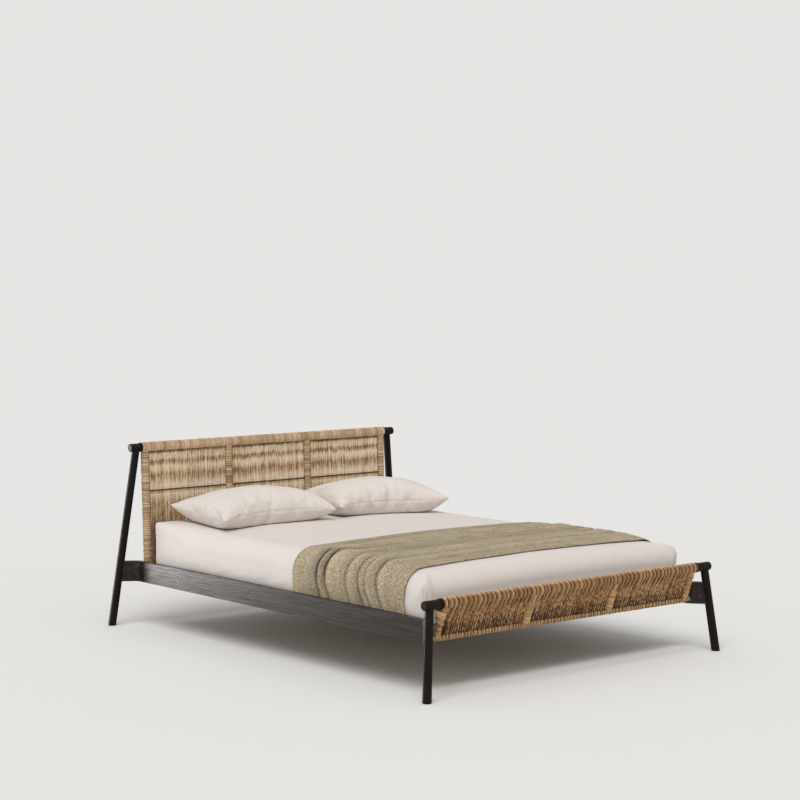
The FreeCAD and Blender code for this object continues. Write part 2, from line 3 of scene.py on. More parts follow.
import bpy
import numpy as np
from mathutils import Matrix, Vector


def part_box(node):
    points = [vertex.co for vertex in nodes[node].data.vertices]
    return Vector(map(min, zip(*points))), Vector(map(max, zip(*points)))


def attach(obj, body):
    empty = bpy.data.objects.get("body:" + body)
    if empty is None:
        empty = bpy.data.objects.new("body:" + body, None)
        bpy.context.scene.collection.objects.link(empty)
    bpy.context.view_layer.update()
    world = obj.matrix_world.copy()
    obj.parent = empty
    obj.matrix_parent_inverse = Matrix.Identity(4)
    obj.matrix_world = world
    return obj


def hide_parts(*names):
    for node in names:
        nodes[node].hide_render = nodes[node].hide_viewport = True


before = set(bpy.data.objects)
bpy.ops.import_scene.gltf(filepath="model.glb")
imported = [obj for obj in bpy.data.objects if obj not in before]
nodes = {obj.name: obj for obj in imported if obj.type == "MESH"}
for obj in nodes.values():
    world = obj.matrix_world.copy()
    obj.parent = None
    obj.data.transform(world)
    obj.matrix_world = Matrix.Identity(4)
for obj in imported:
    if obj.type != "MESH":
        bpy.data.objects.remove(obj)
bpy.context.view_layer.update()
scene = bpy.context.scene

# Lengths are in metres, in the frame of the CAD model: X across the bed, +Y to the head, +Z up.

ACROSS = np.array([1.0, 0, 0])
UPRIGHT = np.array([0, 0, 1.0])
FULL_TURN = 2 * math.pi

# Materials

EVEN = (1.0, 1.0, 1.0)


def shader(name, colour, roughness, sheen=0.0, specular=0.5):
    """New material with a Principled shader; returns the material, its node tree and the shader."""
    material = bpy.data.materials.new(name)
    material.use_nodes = True
    tree = material.node_tree
    main = tree.nodes["Principled BSDF"]
    main.inputs["Base Color"].default_value = (*colour, 1)
    main.inputs["Roughness"].default_value = roughness
    main.inputs["Sheen Weight"].default_value = sheen
    main.inputs["Specular IOR Level"].default_value = specular
    return material, tree, main


def add(tree, kind, **values):
    """New node whose inputs, or else whose properties, take the values."""
    node = tree.nodes.new(kind)
    for key, value in values.items():
        if key in node.inputs:
            node.inputs[key].default_value = value
        else:
            setattr(node, key, value)
    return node


def mapped(tree, scale=EVEN, uv_map=None):
    """The object's coordinates, or those of a named map, stretched."""
    mapping = add(tree, "ShaderNodeMapping", Scale=scale)
    if uv_map:
        place = add(tree, "ShaderNodeUVMap", uv_map=uv_map).outputs["UV"]
    else:
        place = add(tree, "ShaderNodeTexCoord").outputs["Object"]
    tree.links.new(place, mapping.inputs["Vector"])
    return mapping.outputs["Vector"]


def noise(tree, vector, scale=1.0, detail=2.0, rough=0.5):
    node = add(tree, "ShaderNodeTexNoise", Scale=scale, Detail=detail, Roughness=rough)
    tree.links.new(vector, node.inputs["Vector"])
    return node.outputs["Fac"]


def wave(tree, vector, scale, distortion, direction):
    node = add(tree, "ShaderNodeTexWave", Scale=scale, Distortion=distortion, Detail=0.0, bands_direction=direction)
    tree.links.new(vector, node.inputs["Vector"])
    return node.outputs["Fac"]


def ramp(tree, value, stops):
    """Colour ramp through (place, colour) stops."""
    node = add(tree, "ShaderNodeValToRGB")
    elements = node.color_ramp.elements
    while len(elements) < len(stops):
        elements.new(0.5)
    for element, (place, colour) in zip(elements, stops):
        element.position = place
        element.color = (*colour, 1)
    tree.links.new(value, node.inputs["Fac"])
    return node.outputs["Color"]


def maths(tree, operation, first, second):
    node = add(tree, "ShaderNodeMath", operation=operation)
    for socket, value in zip(node.inputs, (first, second)):
        if isinstance(value, (int, float)):
            socket.default_value = value
        else:
            tree.links.new(value, socket)
    return node.outputs["Value"]


def weighted(tree, *terms):
    """Sum of (value, weight) terms."""
    parts = [maths(tree, "MULTIPLY", value, weight) for value, weight in terms]
    total = parts[0]
    for part in parts[1:]:
        total = maths(tree, "ADD", total, part)
    return total


def bump(tree, main, height, distance):
    node = add(tree, "ShaderNodeBump", Distance=distance, Strength=1.0)
    tree.links.new(height, node.inputs["Height"])
    tree.links.new(node.outputs["Normal"], main.inputs["Normal"])


def wood(name, along, stops, roughness, pores, specular=0.5):
    """Wood whose grain runs along an axis, 0, 1 or 2, coloured through (place, colour) stops."""
    material, tree, main = shader(name, stops[0][1], roughness, specular=specular)
    main.inputs["Specular Tint"].default_value = (1.0, 0.86, 0.84, 1)
    grain_scale, fibre_scale = [60.0] * 3, [260.0] * 3
    grain_scale[along], fibre_scale[along] = 2.2, 7.0
    grain = noise(tree, mapped(tree, grain_scale), detail=4.0, rough=0.6)
    fibre = noise(tree, mapped(tree, fibre_scale), detail=3.0, rough=0.65)
    mixed = weighted(tree, (grain, 0.45), (fibre, 0.55))
    tree.links.new(ramp(tree, mixed, stops), main.inputs["Base Color"])
    pore_roughness, fibre_roughness = (roughness + 0.2,) * 3, (roughness - 0.06,) * 3
    rough = ramp(tree, fibre, ((0.35, pore_roughness), (0.65, fibre_roughness)))
    tree.links.new(rough, main.inputs["Roughness"])
    bump(tree, main, fibre, pores)
    return material


def cord_material(name, stops):
    """Twisted natural cord, coloured by its tone, which also holds painted light and shade, with streaks along it and a
    spiral twist.
    """
    material, tree, main = shader(name, stops[1][1], 0.72, sheen=0.1, specular=0.25)
    value = add(tree, "ShaderNodeAttribute", attribute_name="tone").outputs["Fac"]
    streak = noise(tree, mapped(tree, (60.0, 3.0, 1.0), uv_map="cord"), detail=3.0, rough=0.6)
    fleck = noise(tree, mapped(tree), 700.0, detail=1.0)
    for pattern, strength in ((streak, 0.68), (fleck, 0.34)):
        swing = maths(tree, "SUBTRACT", pattern, 0.5)
        value = maths(tree, "ADD", value, maths(tree, "MULTIPLY", swing, strength))
    tree.links.new(ramp(tree, value, stops), main.inputs["Base Color"])
    twist = wave(tree, mapped(tree, (78.0, 0.63, 1.0), uv_map="cord"), 1.0, distortion=0.8, direction="DIAGONAL")
    bump(tree, main, maths(tree, "ADD", twist, streak), 0.0006)
    return material


def weave_height(tree, pitch):
    """Crossing threads of a plain weave, from three directions so that every side shows it."""
    place = mapped(tree)
    bands_per_pitch = 3.2
    threads = [wave(tree, place, 1.0 / pitch / bands_per_pitch, 0.6, direction) for direction in ("X", "Y", "Z")]
    return maths(tree, "ADD", maths(tree, "ADD", threads[0], threads[1]), threads[2])


def cotton(name, base, shade, pitch, depth, sheen=0.12, roughness=0.85, creases=0.0):
    """Plain-woven cloth with faint clouds of colour and fine creases of a given depth."""
    material, tree, main = shader(name, base, roughness, sheen=sheen, specular=0.2)
    clouds = noise(tree, mapped(tree), 5.0, detail=3.0)
    fleck = noise(tree, mapped(tree), 420.0)
    mixed = weighted(tree, (clouds, 0.6), (fleck, 0.4))
    tree.links.new(ramp(tree, mixed, ((0.34, shade), (0.6, base))), main.inputs["Base Color"])
    height = maths(tree, "ADD", weave_height(tree, pitch), maths(tree, "MULTIPLY", fleck, 2.0))
    if creases:
        pucker = noise(tree, mapped(tree, (1.0, 1.0, 0.7)), 21.0, detail=3.0, rough=0.55)
        fold = maths(tree, "ABSOLUTE", maths(tree, "SUBTRACT", pucker, 0.5), 0.0)
        height = maths(tree, "ADD", height, maths(tree, "MULTIPLY", fold, creases / depth))
    bump(tree, main, height, depth)
    return material


def wool(name, stops):
    """Heather knit: light and dark fibres mixed, with a fuzzy surface, multiplied by its tone, which holds painted
    shade and highlight from the folds.
    """
    material, tree, main = shader(name, (0.33, 0.285, 0.19), 0.95, sheen=0.4, specular=0.1)
    main.inputs["Sheen Roughness"].default_value = 0.6
    main.inputs["Sheen Tint"].default_value = (0.74, 0.645, 0.47, 1)
    fleck = noise(tree, mapped(tree), 195.0, detail=3.0, rough=0.7)
    tuft = noise(tree, mapped(tree, (40.0, 120.0, 60.0)))
    cloud = noise(tree, mapped(tree), 9.0)
    mixed = weighted(tree, (fleck, 0.84), (tuft, 0.06), (cloud, 0.10))
    tone = add(tree, "ShaderNodeAttribute", attribute_name="tone").outputs["Color"]
    shaded = add(tree, "ShaderNodeMix", data_type="RGBA", blend_type="MULTIPLY", Factor=1.0)
    tree.links.new(ramp(tree, mixed, stops), shaded.inputs[6])
    tree.links.new(tone, shaded.inputs[7])
    tree.links.new(shaded.outputs[2], main.inputs["Base Color"])
    bump(tree, main, maths(tree, "ADD", fleck, tuft), 0.0005)
    return material


def metal(name):
    """Zinc-plated steel with a cloudy finish."""
    material, tree, main = shader(name, (0.6, 0.6, 0.61), 0.35)
    main.inputs["Metallic"].default_value = 1.0
    cloud = noise(tree, mapped(tree), 160.0, detail=3.0)
    for socket, low, high in (("Base Color", (0.5,) * 3, (0.68, 0.68, 0.69)), ("Roughness", (0.45,) * 3, (0.28,) * 3)):
        tree.links.new(ramp(tree, cloud, ((0.3, low), (0.7, high))), main.inputs[socket])
    return material


black = ((0.38, (0.0025, 0.002, 0.0016)), (0.62, (0.0085, 0.007, 0.0056)))
grainy = ((0.40, (0.0036, 0.0026, 0.002)), (0.52, (0.0125, 0.0094, 0.0074)), (0.62, (0.05, 0.038, 0.03)))
pine = ((0.38, (0.30, 0.222, 0.142)), (0.6, (0.44, 0.345, 0.235)))
straw = ((0.0, (0.09, 0.045, 0.02)), (0.3, (0.41, 0.262, 0.146)),
         (0.55, (0.80, 0.60, 0.40)), (0.85, (0.97, 0.86, 0.69)))
bast = ((0.0, (0.04, 0.017, 0.006)), (0.3, (0.26, 0.133, 0.051)),
        (0.55, (0.54, 0.32, 0.145)), (0.85, (0.84, 0.625, 0.375)))
dark_bast = ((0.0, (0.05, 0.028, 0.014)), (0.3, (0.10, 0.06, 0.033)),
             (0.55, (0.17, 0.11, 0.062)), (0.85, (0.27, 0.185, 0.11)))
heather = ((0.39, (0.138, 0.104, 0.063)), (0.47, (0.29, 0.234, 0.156)),
           (0.54, (0.42, 0.347, 0.243)), (0.615, (0.66, 0.57, 0.43)))

fine_pores, open_pores = 0.0002, 0.0006
black_x = wood("black_wood_across", 0, black, 0.45, fine_pores, specular=0.16)
black_y = wood("black_wood_along", 1, grainy, 0.25, open_pores, specular=0.29)
black_z = wood("black_wood_upright", 2, black, 0.45, fine_pores, specular=0.16)
pine_x, pine_y, pine_z = (wood(f"pine_{way}", axis, pine, 0.6, fine_pores)
                          for axis, way in enumerate(("across", "along", "upright")))
steel = metal("zinc_steel_plate")
felt = cotton("felt_pad", (0.06, 0.058, 0.055), (0.03, 0.03, 0.028), 0.0015, 0.00015, sheen=0.3, roughness=0.95)
head_cord = cord_material("cord_head", straw)
foot_cord = cord_material("cord_foot", bast)
weft_cord = cord_material("cord_weft", dark_bast)
sheet_cotton = cotton("sheet_cotton_weave", (0.715, 0.664, 0.625), (0.69, 0.637, 0.595), 0.0011, 0.00004)
pillow_cotton = cotton("pillow_linen_weave", (0.745, 0.687, 0.643), (0.715, 0.657, 0.613), 0.0014, 0.00005,
                       creases=0.011)
ticking = cotton("mattress_ticking_weave", (0.82, 0.80, 0.77), (0.76, 0.74, 0.71), 0.0025, 0.00012, sheen=0.1)
throw_wool = wool("throw_wool_knit", heather)

# Finish of a CAD node: that of the first word found in its name, or else pine across the bed.
finishes = (("low_bar", pine_x), ("wrap", pine_x), ("_bar", black_x), ("_leg", black_z), ("side_rail", black_y),
            ("bolts", steel), ("cross_dowels", steel), ("bracket", steel), ("screws", steel), ("glides", felt),
            ("ledger", pine_y), ("centre_beam", pine_y), ("stile", pine_z), ("mullion", pine_z))
for name, node in nodes.items():
    node.data.materials.clear()
    node.data.materials.append(next((finish for word, finish in finishes if word in name), pine_x))

# Mesh helpers


def quad_mesh(name, points, quads, material, maps=None, values=None):
    """New object from points and four-sided faces, with named maps per face corner and values per point."""
    points = np.asarray(points, np.float32).reshape(-1, 3)
    quads = np.asarray(quads, np.int32).reshape(-1, 4)
    mesh = bpy.data.meshes.new(name)
    mesh.vertices.add(len(points))
    mesh.vertices.foreach_set("co", points.ravel())
    mesh.loops.add(quads.size)
    mesh.loops.foreach_set("vertex_index", quads.ravel())
    mesh.polygons.add(len(quads))
    mesh.polygons.foreach_set("loop_start", np.arange(0, quads.size, 4, dtype=np.int32))
    mesh.update(calc_edges=True)
    for map_name, places in (maps or {}).items():
        layer = mesh.uv_layers.new(name=map_name)
        layer.uv.foreach_set("vector", np.asarray(places, np.float32).ravel())
    for value_name, numbers in (values or {}).items():
        attribute = mesh.attributes.new(value_name, "FLOAT", "POINT")
        attribute.data.foreach_set("value", np.asarray(numbers, np.float32).ravel())
    mesh.polygons.foreach_set("use_smooth", np.full(len(quads), True))
    mesh.materials.append(material)
    piece = bpy.data.objects.new(name, mesh)
    scene.collection.objects.link(piece)
    return piece


def stand_in(piece, body, node):
    """The piece rides on a body, in place of a CAD node."""
    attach(piece, body)
    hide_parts(node)


def unit(vectors):
    return vectors / np.linalg.norm(vectors, axis=-1, keepdims=True)


def smooth_step(low, high, value):
    share = np.clip((value - low) / (high - low), 0, 1)
    return share * share * (3 - 2 * share)


def hump(value, width):
    """Bell curve, 1 at zero."""
    return np.exp(-(value / width) ** 2)


def soft_noise(values, seed):
    """Smooth random curve from -1 to 1, with one knot for each whole number."""
    knots = np.random.default_rng(seed).uniform(-1, 1, 64)
    whole = np.floor(values).astype(int)
    share = smooth_step(0, 1, values - whole)
    return knots[whole % len(knots)] * (1 - share) + knots[(whole + 1) % len(knots)] * share


def grid_faces(rows, columns, wrap=False):
    """Corner indices of a grid's cells; wrap joins the last column to the first."""
    cells = columns if wrap else columns - 1
    row, column = np.meshgrid(np.arange(rows - 1), np.arange(cells), indexing="ij")
    after = (column + 1) % columns
    faces = np.stack([row * columns + column, row * columns + after, (row + 1) * columns + after,
                      (row + 1) * columns + column], axis=-1).reshape(-1, 4)
    return faces if wrap else faces[:, ::-1]


def grid_rim(rows, columns):
    """Indices of a grid's outer points, in order round it."""
    index = np.arange(rows * columns).reshape(rows, columns)
    return np.concatenate([index[:, 0], index[-1, 1:], index[-2::-1, -1], index[0, -2:0:-1]])


def ring_faces(above, below):
    """Faces between two closed rings of point indices."""
    return np.stack([above, below, np.roll(below, -1), np.roll(above, -1)], -1)


def box_corners(node):
    return (np.array(corner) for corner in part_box(node))


def middle(node):
    low, high = box_corners(node)
    return (low + high) / 2


# Cord


class Batch:
    """Cord geometry gathered into one mesh."""

    def __init__(self):
        self.points, self.quads, self.tone, self.cord_map, self.bake_map = [], [], [], [], []
        self.count = 0

    def add(self, points, quads, tone, cord_map, bake_map):
        self.points.append(points.reshape(-1, 3))
        self.quads.append(quads.reshape(-1, 4) + self.count)
        self.tone.append(tone.ravel())
        self.cord_map.append(cord_map.reshape(-1, 4, 2))
        self.bake_map.append(bake_map.reshape(-1, 4, 2))
        self.count += len(self.points[-1])

    def piece(self, name, material):
        """The gathered cords as one object; each batch that was added gets its own strip of the bake's map."""
        share = 1.0 / len(self.bake_map)
        bake = [places * (share * 0.97, 1.0) + (index * share, 0.0) for index, places in enumerate(self.bake_map)]
        maps = {"cord": np.concatenate(self.cord_map), "OFBake": np.concatenate(bake)}
        return quad_mesh(name, np.concatenate(self.points), np.concatenate(self.quads), material,
                         maps, {"tone": np.concatenate(self.tone)})


def grid_corners(along, around):
    """Map corners for a grid of cells from its places along and around."""
    low, high, left, right = along[:-1], along[1:], around[:-1], around[1:]
    corners = ((low, left), (low, right), (high, right), (high, left))
    return np.stack([np.stack(np.meshgrid(*corner, indexing="ij"), -1) for corner in corners], axis=-2)


def add_tubes(batch, lines, radius, reference, tone):
    """Six-sided cords along lines of points, with closed ends. lines is (count, steps, 3), tone (count, steps)."""
    sides = 6
    count, steps, _ = lines.shape
    tangent = unit(np.gradient(lines, axis=1))
    side = unit(reference - (tangent @ reference)[..., None] * tangent)
    other = np.cross(tangent, side)
    angle = np.arange(sides) * FULL_TURN / sides
    ring = np.cos(angle)[:, None] * side[:, :, None, :] + np.sin(angle)[:, None] * other[:, :, None, :]
    radius = np.broadcast_to(np.asarray(radius, float), (count, steps))
    points = lines[:, :, None, :] + radius[..., None, None] * ring
    cap = np.array([[0, k, k + 1, k + 2] for k in range(1, sides - 2, 2)])
    one = np.concatenate([grid_faces(steps, sides, wrap=True), cap[:, ::-1], cap + (steps - 1) * sides])
    quads = one[None] + (np.arange(count) * steps * sides)[:, None, None]
    lengths = np.linalg.norm(np.diff(lines, axis=1), axis=-1)
    along = np.concatenate([np.zeros((count, 1)), np.cumsum(lengths, axis=1)], axis=1)
    around = np.linspace(0, 1, sides + 1)
    cap_map = np.zeros((2 * len(cap), 4, 2))
    cord_shift, strip_share = 0.37, 0.96
    cord_map, bake_map = [], []
    for index in range(count):
        body = grid_corners(along[index], around).reshape(-1, 4, 2)
        cord_map.append(np.concatenate([body + (cord_shift * index, 0.0), cap_map]))
        strip = body[..., ::-1] * (strip_share / count, 1.0 / along[index, -1]) + (index / count, 0.0)
        bake_map.append(np.concatenate([strip, cap_map + ((index + 0.5) / count, 0.01)]))
    batch.add(points, quads, np.repeat(tone, sides, axis=1), np.array(cord_map), np.array(bake_map))


def even_tones(level, spread, seed):
    """Maker of one tone for each turn of a cord, all near one level."""
    def make(count):
        quick = np.random.default_rng(seed).uniform(-1, 1, count)
        slow = soft_noise(np.arange(count) / 3.4, seed + 5)
        return level + spread * (0.6 * quick + 0.4 * slow)
    return make


def grouped_tones(sizes, low, high, seed):
    """Maker of tones that rise from dark to light in short groups of turns, fast at first."""
    def make(count):
        local = np.random.default_rng(seed)
        tones = []
        while len(tones) < count:
            size = int(local.integers(*sizes))
            dark, light = low + local.normal(0, 0.05), high + local.normal(0, 0.06)
            tones.extend(dark + (light - dark) * np.linspace(0, 1, size) ** 0.6)
        return np.array(tones[:count])
    return make


CLOSE_PITCH = 1.04


def add_winding(batch, start, end, outer, cord, tones, seed, pitch=None, around=24, fine=5, gaps=(), gap_depth=0.003,
                pair_depth=0.0, sink=0.0, drift_share=0.1, rim=((-1.0, 0.0), (1.0, 0.0))):
    """Cord wound closely round an axis, as a ribbed sleeve whose ribs climb one pitch each turn.

    Each turn has fine rows of points and around points round it. Pairs of turns part by pair_depth, dark turns
    sink by a share of the cord, gaps are (place, width) grooves, and rim adds painted light and shade by height on
    the ring. The grooves between turns and between pairs get painted shade.
    """
    pitch = pitch or cord * CLOSE_PITCH
    local = np.random.default_rng(seed)
    start, end = np.array(start), np.array(end)
    length = np.linalg.norm(end - start)
    axis = (end - start) / length
    side = unit(np.cross(axis, [0.31, 0.52, 0.79]))
    other = np.cross(axis, side)
    turns = int(round(length / pitch))
    rows = (turns + 1) * fine + 1
    theta = np.arange(around) * FULL_TURN / around
    turn = np.arange(rows)[:, None] / fine - 1 + np.arange(around)[None, :] / around
    number = np.clip(np.floor(turn).astype(int), 0, turns)
    share = turn - np.floor(turn)
    drift = drift_share * local.uniform(-1, 1, turns + 1)[number] * np.sin(theta)[None, :]
    distance = np.clip((turn + drift) * length / turns, 0, length)
    rib = np.sqrt(np.clip(1 - (2 * share - 1) ** 2, 0, 1))
    tone = tones(turns + 1)
    sunk = sink * cord * (1 - np.clip(tone / tone.max(), 0, 1))
    proud = local.uniform(-0.22, 0.0, turns + 1) * cord - sunk
    pair_groove = hump(np.abs((turn + 1) % 2 - 1), 0.22)
    radius = outer + proud[number] - 0.42 * cord * (1 - rib)
    radius -= pair_depth * pair_groove
    for place, width in gaps:
        radius -= gap_depth * hump(distance - place, width)
    end_share = np.minimum(distance, length - distance) / cord
    radius -= 0.5 * cord * (1 - smooth_step(0, 1, end_share))
    ring = np.cos(theta)[:, None] * side + np.sin(theta)[:, None] * other
    points = start + distance[..., None] * axis + radius[..., None] * ring
    # Painted shade darkens the grooves between turns and between pairs.
    shade = tone[number] - 0.16 * (1 - rib) - 0.25 * (pair_depth > 0) * pair_groove
    # The rim table adds painted light and shade by height on the ring.
    heights, painted_tints = np.array(rim).T
    shade = shade + np.interp(ring[:, 2], heights, painted_tints)[None, :]
    quads = grid_faces(rows, around, wrap=True)
    along_map = np.arange(rows) / fine * pitch
    turn_map = np.linspace(0, 1, around + 1)
    turn_shift = (np.arange(rows - 1) // fine * 0.41)[:, None, None, None] * (1.0, 0.0)
    cord_map = grid_corners(along_map / pitch, turn_map * FULL_TURN * outer)[..., ::-1] + turn_shift
    bake_map = grid_corners(along_map / along_map[-1], turn_map)[..., ::-1]
    corners = points.reshape(-1, 3)[quads]
    area = np.linalg.norm(np.cross(corners[:, 2] - corners[:, 0], corners[:, 3] - corners[:, 1]), axis=1)
    kept = area > 1e-10
    batch.add(points, quads[kept], shade, cord_map.reshape(-1, 4, 2)[kept], bake_map.reshape(-1, 4, 2)[kept])


# Woven boards


class Board:
    """Places of one board, read from the CAD nodes."""

    def __init__(self, name, bar):
        self.name = name
        self.top, self.low = middle(bar), middle(f"{name}_low_bar")
        self.top[0] = self.low[0] = 0
        run = self.top - self.low
        self.reach = np.linalg.norm(run)
        self.up = unit(run)
        self.front = unit(np.cross(ACROSS, self.up))
        box_low, box_high = box_corners(f"{name}_bar_wrap")
        self.half_width = (box_high[0] - box_low[0]) / 2
        self.bar_radius = (box_high[2] - box_low[2]) / 2
        self.places = [middle(f"{name}_{post}")[0]
                       for post in ("stile_left", "mullion_left", "mullion_right", "stile_right")]
        self.post_radius = self.half_width - abs(self.places[0])
        self.low_radius = self.low[2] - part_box(f"{name}_frame_wraps")[0][2]

    def at(self, across, drop, out):
        """Point of the board: across the bed, down from the bar's axis along the board, and out from its plane."""
        return (self.top + np.multiply.outer(across, ACROSS) - np.multiply.outer(drop, self.up)
                + np.multiply.outer(out, self.front))

    def leave_bar(self, cord, angle):
        """Distance out and down from the bar's axis at which strands leave its cord, at an angle from straight down."""
        radius = self.bar_radius - 0.6 * cord
        return radius * math.sin(angle), radius * math.cos(angle)


# Tone of a headboard strand by its distance down from the underside of the bar's cord. The darkest first
# stops, just under the bar, are painted shade under the bar's cord.
head_bands_and_painted_shade = np.array([(-0.03, 0.05), (0.002, 0.12), (0.0065, 0.50), (0.012, 0.66), (0.038, 0.58), (0.050, 0.26),
                       (0.062, 0.42), (0.078, 0.70), (0.095, 0.58), (0.120, 0.32), (0.142, 0.45), (0.172, 0.72),
                       (0.190, 0.66), (0.200, 0.30), (0.212, 0.68), (0.235, 0.52), (0.265, 0.38), (0.320, 0.36),
                       (0.420, 0.28), (0.70, 0.2)])


def head_tones(board, across, drop, local):
    """Light and dark bands across the headboard's strands, ragged from strand to strand; the dark band just under the
    bar is painted shade.
    """
    one_each = (across.shape[0], 1)
    below = drop - board.bar_radius
    place = across[:, :1]
    ragged = local.normal(0, 0.0035, one_each) + 0.004 * soft_noise(place * 23 + 40, 61)
    ragged = ragged * smooth_step(0.0, 0.02, below) * (1 - smooth_step(0.185, 0.2, below))
    band = np.interp(below + ragged, head_bands_and_painted_shade[:, 0], head_bands_and_painted_shade[:, 1])
    strength = 1.15 + 0.3 * soft_noise(place * 5 + below * 9 + 40, 62)
    strand = 0.15 * local.uniform(-1, 1, one_each)
    broken = 0.13 * soft_noise(below * 33 + 9 * local.uniform(0, 60, one_each), 63)
    return 0.49 + (band - 0.47) * strength + strand + broken


def foot_tones(board, across, drop, local):
    """The bar's dark and light groups run into the footboard's strands and fade; below them painted shade marks the
    slits between paired strands, a slot beside each post and the strands' seat on the lower bar.
    """
    one_each = (across.shape[0], 1)
    reach, last_turn = board.reach, len(board.bar_tone) - 1
    turn = (across[:, :1] + board.half_width) / (2 * board.half_width) * last_turn
    group = board.bar_tone[np.clip(turn.astype(int), 0, last_turn)]
    plain = 0.39 + 0.13 * local.uniform(-1, 1, one_each)
    broken = 0.23 * soft_noise(drop * 95 + 9 * local.uniform(0, 60, one_each), 64)
    fade = smooth_step(0.026, 0.055, drop)
    tone = group * (1 - fade) + (plain + broken) * fade
    start = 0.57 * reach + 0.010 * local.uniform(-1, 1, one_each)
    deep = smooth_step(start, start + 0.028, drop)
    number = np.arange(len(across))[:, None]
    # Painted shade darkens every other strand where the slits open lower down.
    painted_slit_shade = np.where(number % 2 == 0, 0.06, 0.48 + 0.16 * local.uniform(-1, 1, one_each))
    # Painted shade darkens the strands beside a post, on its right, as a dark slot.
    painted_slot_shade = np.where(number < 2, 0.4, 0.0) * smooth_step(0.42 * reach, 0.6 * reach, drop)
    seat_drop = reach - board.low_radius
    # Painted shade where the strands meet the lower bar's cord.
    painted_seat_shade = 0.16 * smooth_step(seat_drop - 0.007, seat_drop, drop)
    return tone - painted_slit_shade * deep - painted_slot_shade - painted_seat_shade


def weave_field(board, index, seed, weft_drop, cord, pitch, rest_out, leave, settle, steps, pairing, tones, back):
    """Upright strands of one field on both faces, from the bar's cord to the lower bar's cord."""
    local = np.random.default_rng(seed)
    batch = Batch()
    reach = board.reach
    gap = math.sqrt(board.post_radius ** 2 - rest_out ** 2) + cord / 2 + 0.0006
    left, right = board.places[index] + gap, board.places[index + 1] - gap
    back_count = int((right - left) / pitch) + 1
    step = (right - left) / (back_count - 1)
    # The two faces are staggered by half a strand, so that the back one closes the slits of the front one.
    front_base = left + step * (np.arange(back_count - 1) + 0.5)
    back_base = np.linspace(left, right, back_count)
    along = np.linspace(0, 1, steps)
    bar_out, bar_drop = board.leave_bar(cord, leave)
    end_drop = reach - 0.75 * board.low_radius
    drop = bar_drop + (end_drop - bar_drop) * along
    out = bar_out + (rest_out - bar_out) * smooth_step(bar_drop, settle, drop)
    if weft_drop:
        out = out - 0.55 * rest_out * hump(drop - weft_drop, 0.006)
    for face, base in ((1, front_base), (-1, back_base)):
        count = len(base)
        wander = np.cumsum(local.normal(0, 0.0008 / math.sqrt(steps), (count, steps)), axis=1)
        wander -= along[None, :] * wander[:, -1:]
        pair = np.where(np.arange(count) % 2 == 0, 1.0, -1.0)[:, None] * pairing * pitch * (face > 0)
        pair = pair * smooth_step(0.42 * reach, 0.7 * reach, drop)[None, :]
        across = base[:, None] + wander + pair + local.normal(0, 0.0003, (count, 1))
        depth = out[None, :] + local.normal(0, 0.0005, (count, 1)) + 0.4 * wander
        drops = np.broadcast_to(drop, across.shape)
        radius = cord / 2 * (1 + local.normal(0, 0.06, (count, 1)))
        tone = tones(board, across, drops, local)
        # The back face's strands are lighter above; lower down, where they show through the slits, they keep the
        # painted slit shade.
        if face < 0:
            tone = tone + back * (1 - smooth_step(0.45 * reach, 0.65 * reach, drops))
        add_tubes(batch, board.at(across, drops, depth * face), radius, ACROSS, tone)
    return batch, left, right


def twined_weft(board, left, right, drop, out):
    """Two cords twisted round each other across a field, on both faces."""
    cord, period, tuck, tone = 0.0042, 0.0105, 0.004, 0.3
    batch = Batch()
    steps = int((right - left) / period * 8)
    across = np.linspace(left - tuck, right + tuck, steps)
    turn = across / period * FULL_TURN
    lines = [board.at(across, drop + 0.0016 * np.sin(turn + phase), face * (out + 0.0014 * np.cos(turn + phase)))
             for face in (1, -1) for phase in (0, math.pi)]
    add_tubes(batch, np.array(lines), cord / 2, UPRIGHT, np.full((len(lines), steps), tone))
    return batch


def post_cover(board, batch, place, cord, seed):
    """Short strands from the bar over the head of a post, tucked in under the post's winding."""
    local = np.random.default_rng(seed)
    count, steps = 6, 12
    base = (place + np.linspace(-0.8, 0.8, count) * board.post_radius)[:, None]
    share = np.linspace(0, 1, steps)[None, :]
    bar_out, bar_drop = board.leave_bar(cord, 0.95)
    end_out = np.sqrt(board.post_radius ** 2 - (base - place) ** 2) - 0.35 * cord
    for face in (1, -1):
        end_drop = 0.058 + local.normal(0, 0.004, (count, 1))
        drop = bar_drop + (end_drop - bar_drop) * share
        out = bar_out + (end_out - bar_out) * smooth_step(0, 1, share)
        across = base + (place - base) * 0.25 * share
        tone = np.broadcast_to(0.52 + 0.15 * local.uniform(-1, 1, (count, 1)), drop.shape)
        add_tubes(batch, board.at(across, drop, out * face), cord / 2, ACROSS, tone)


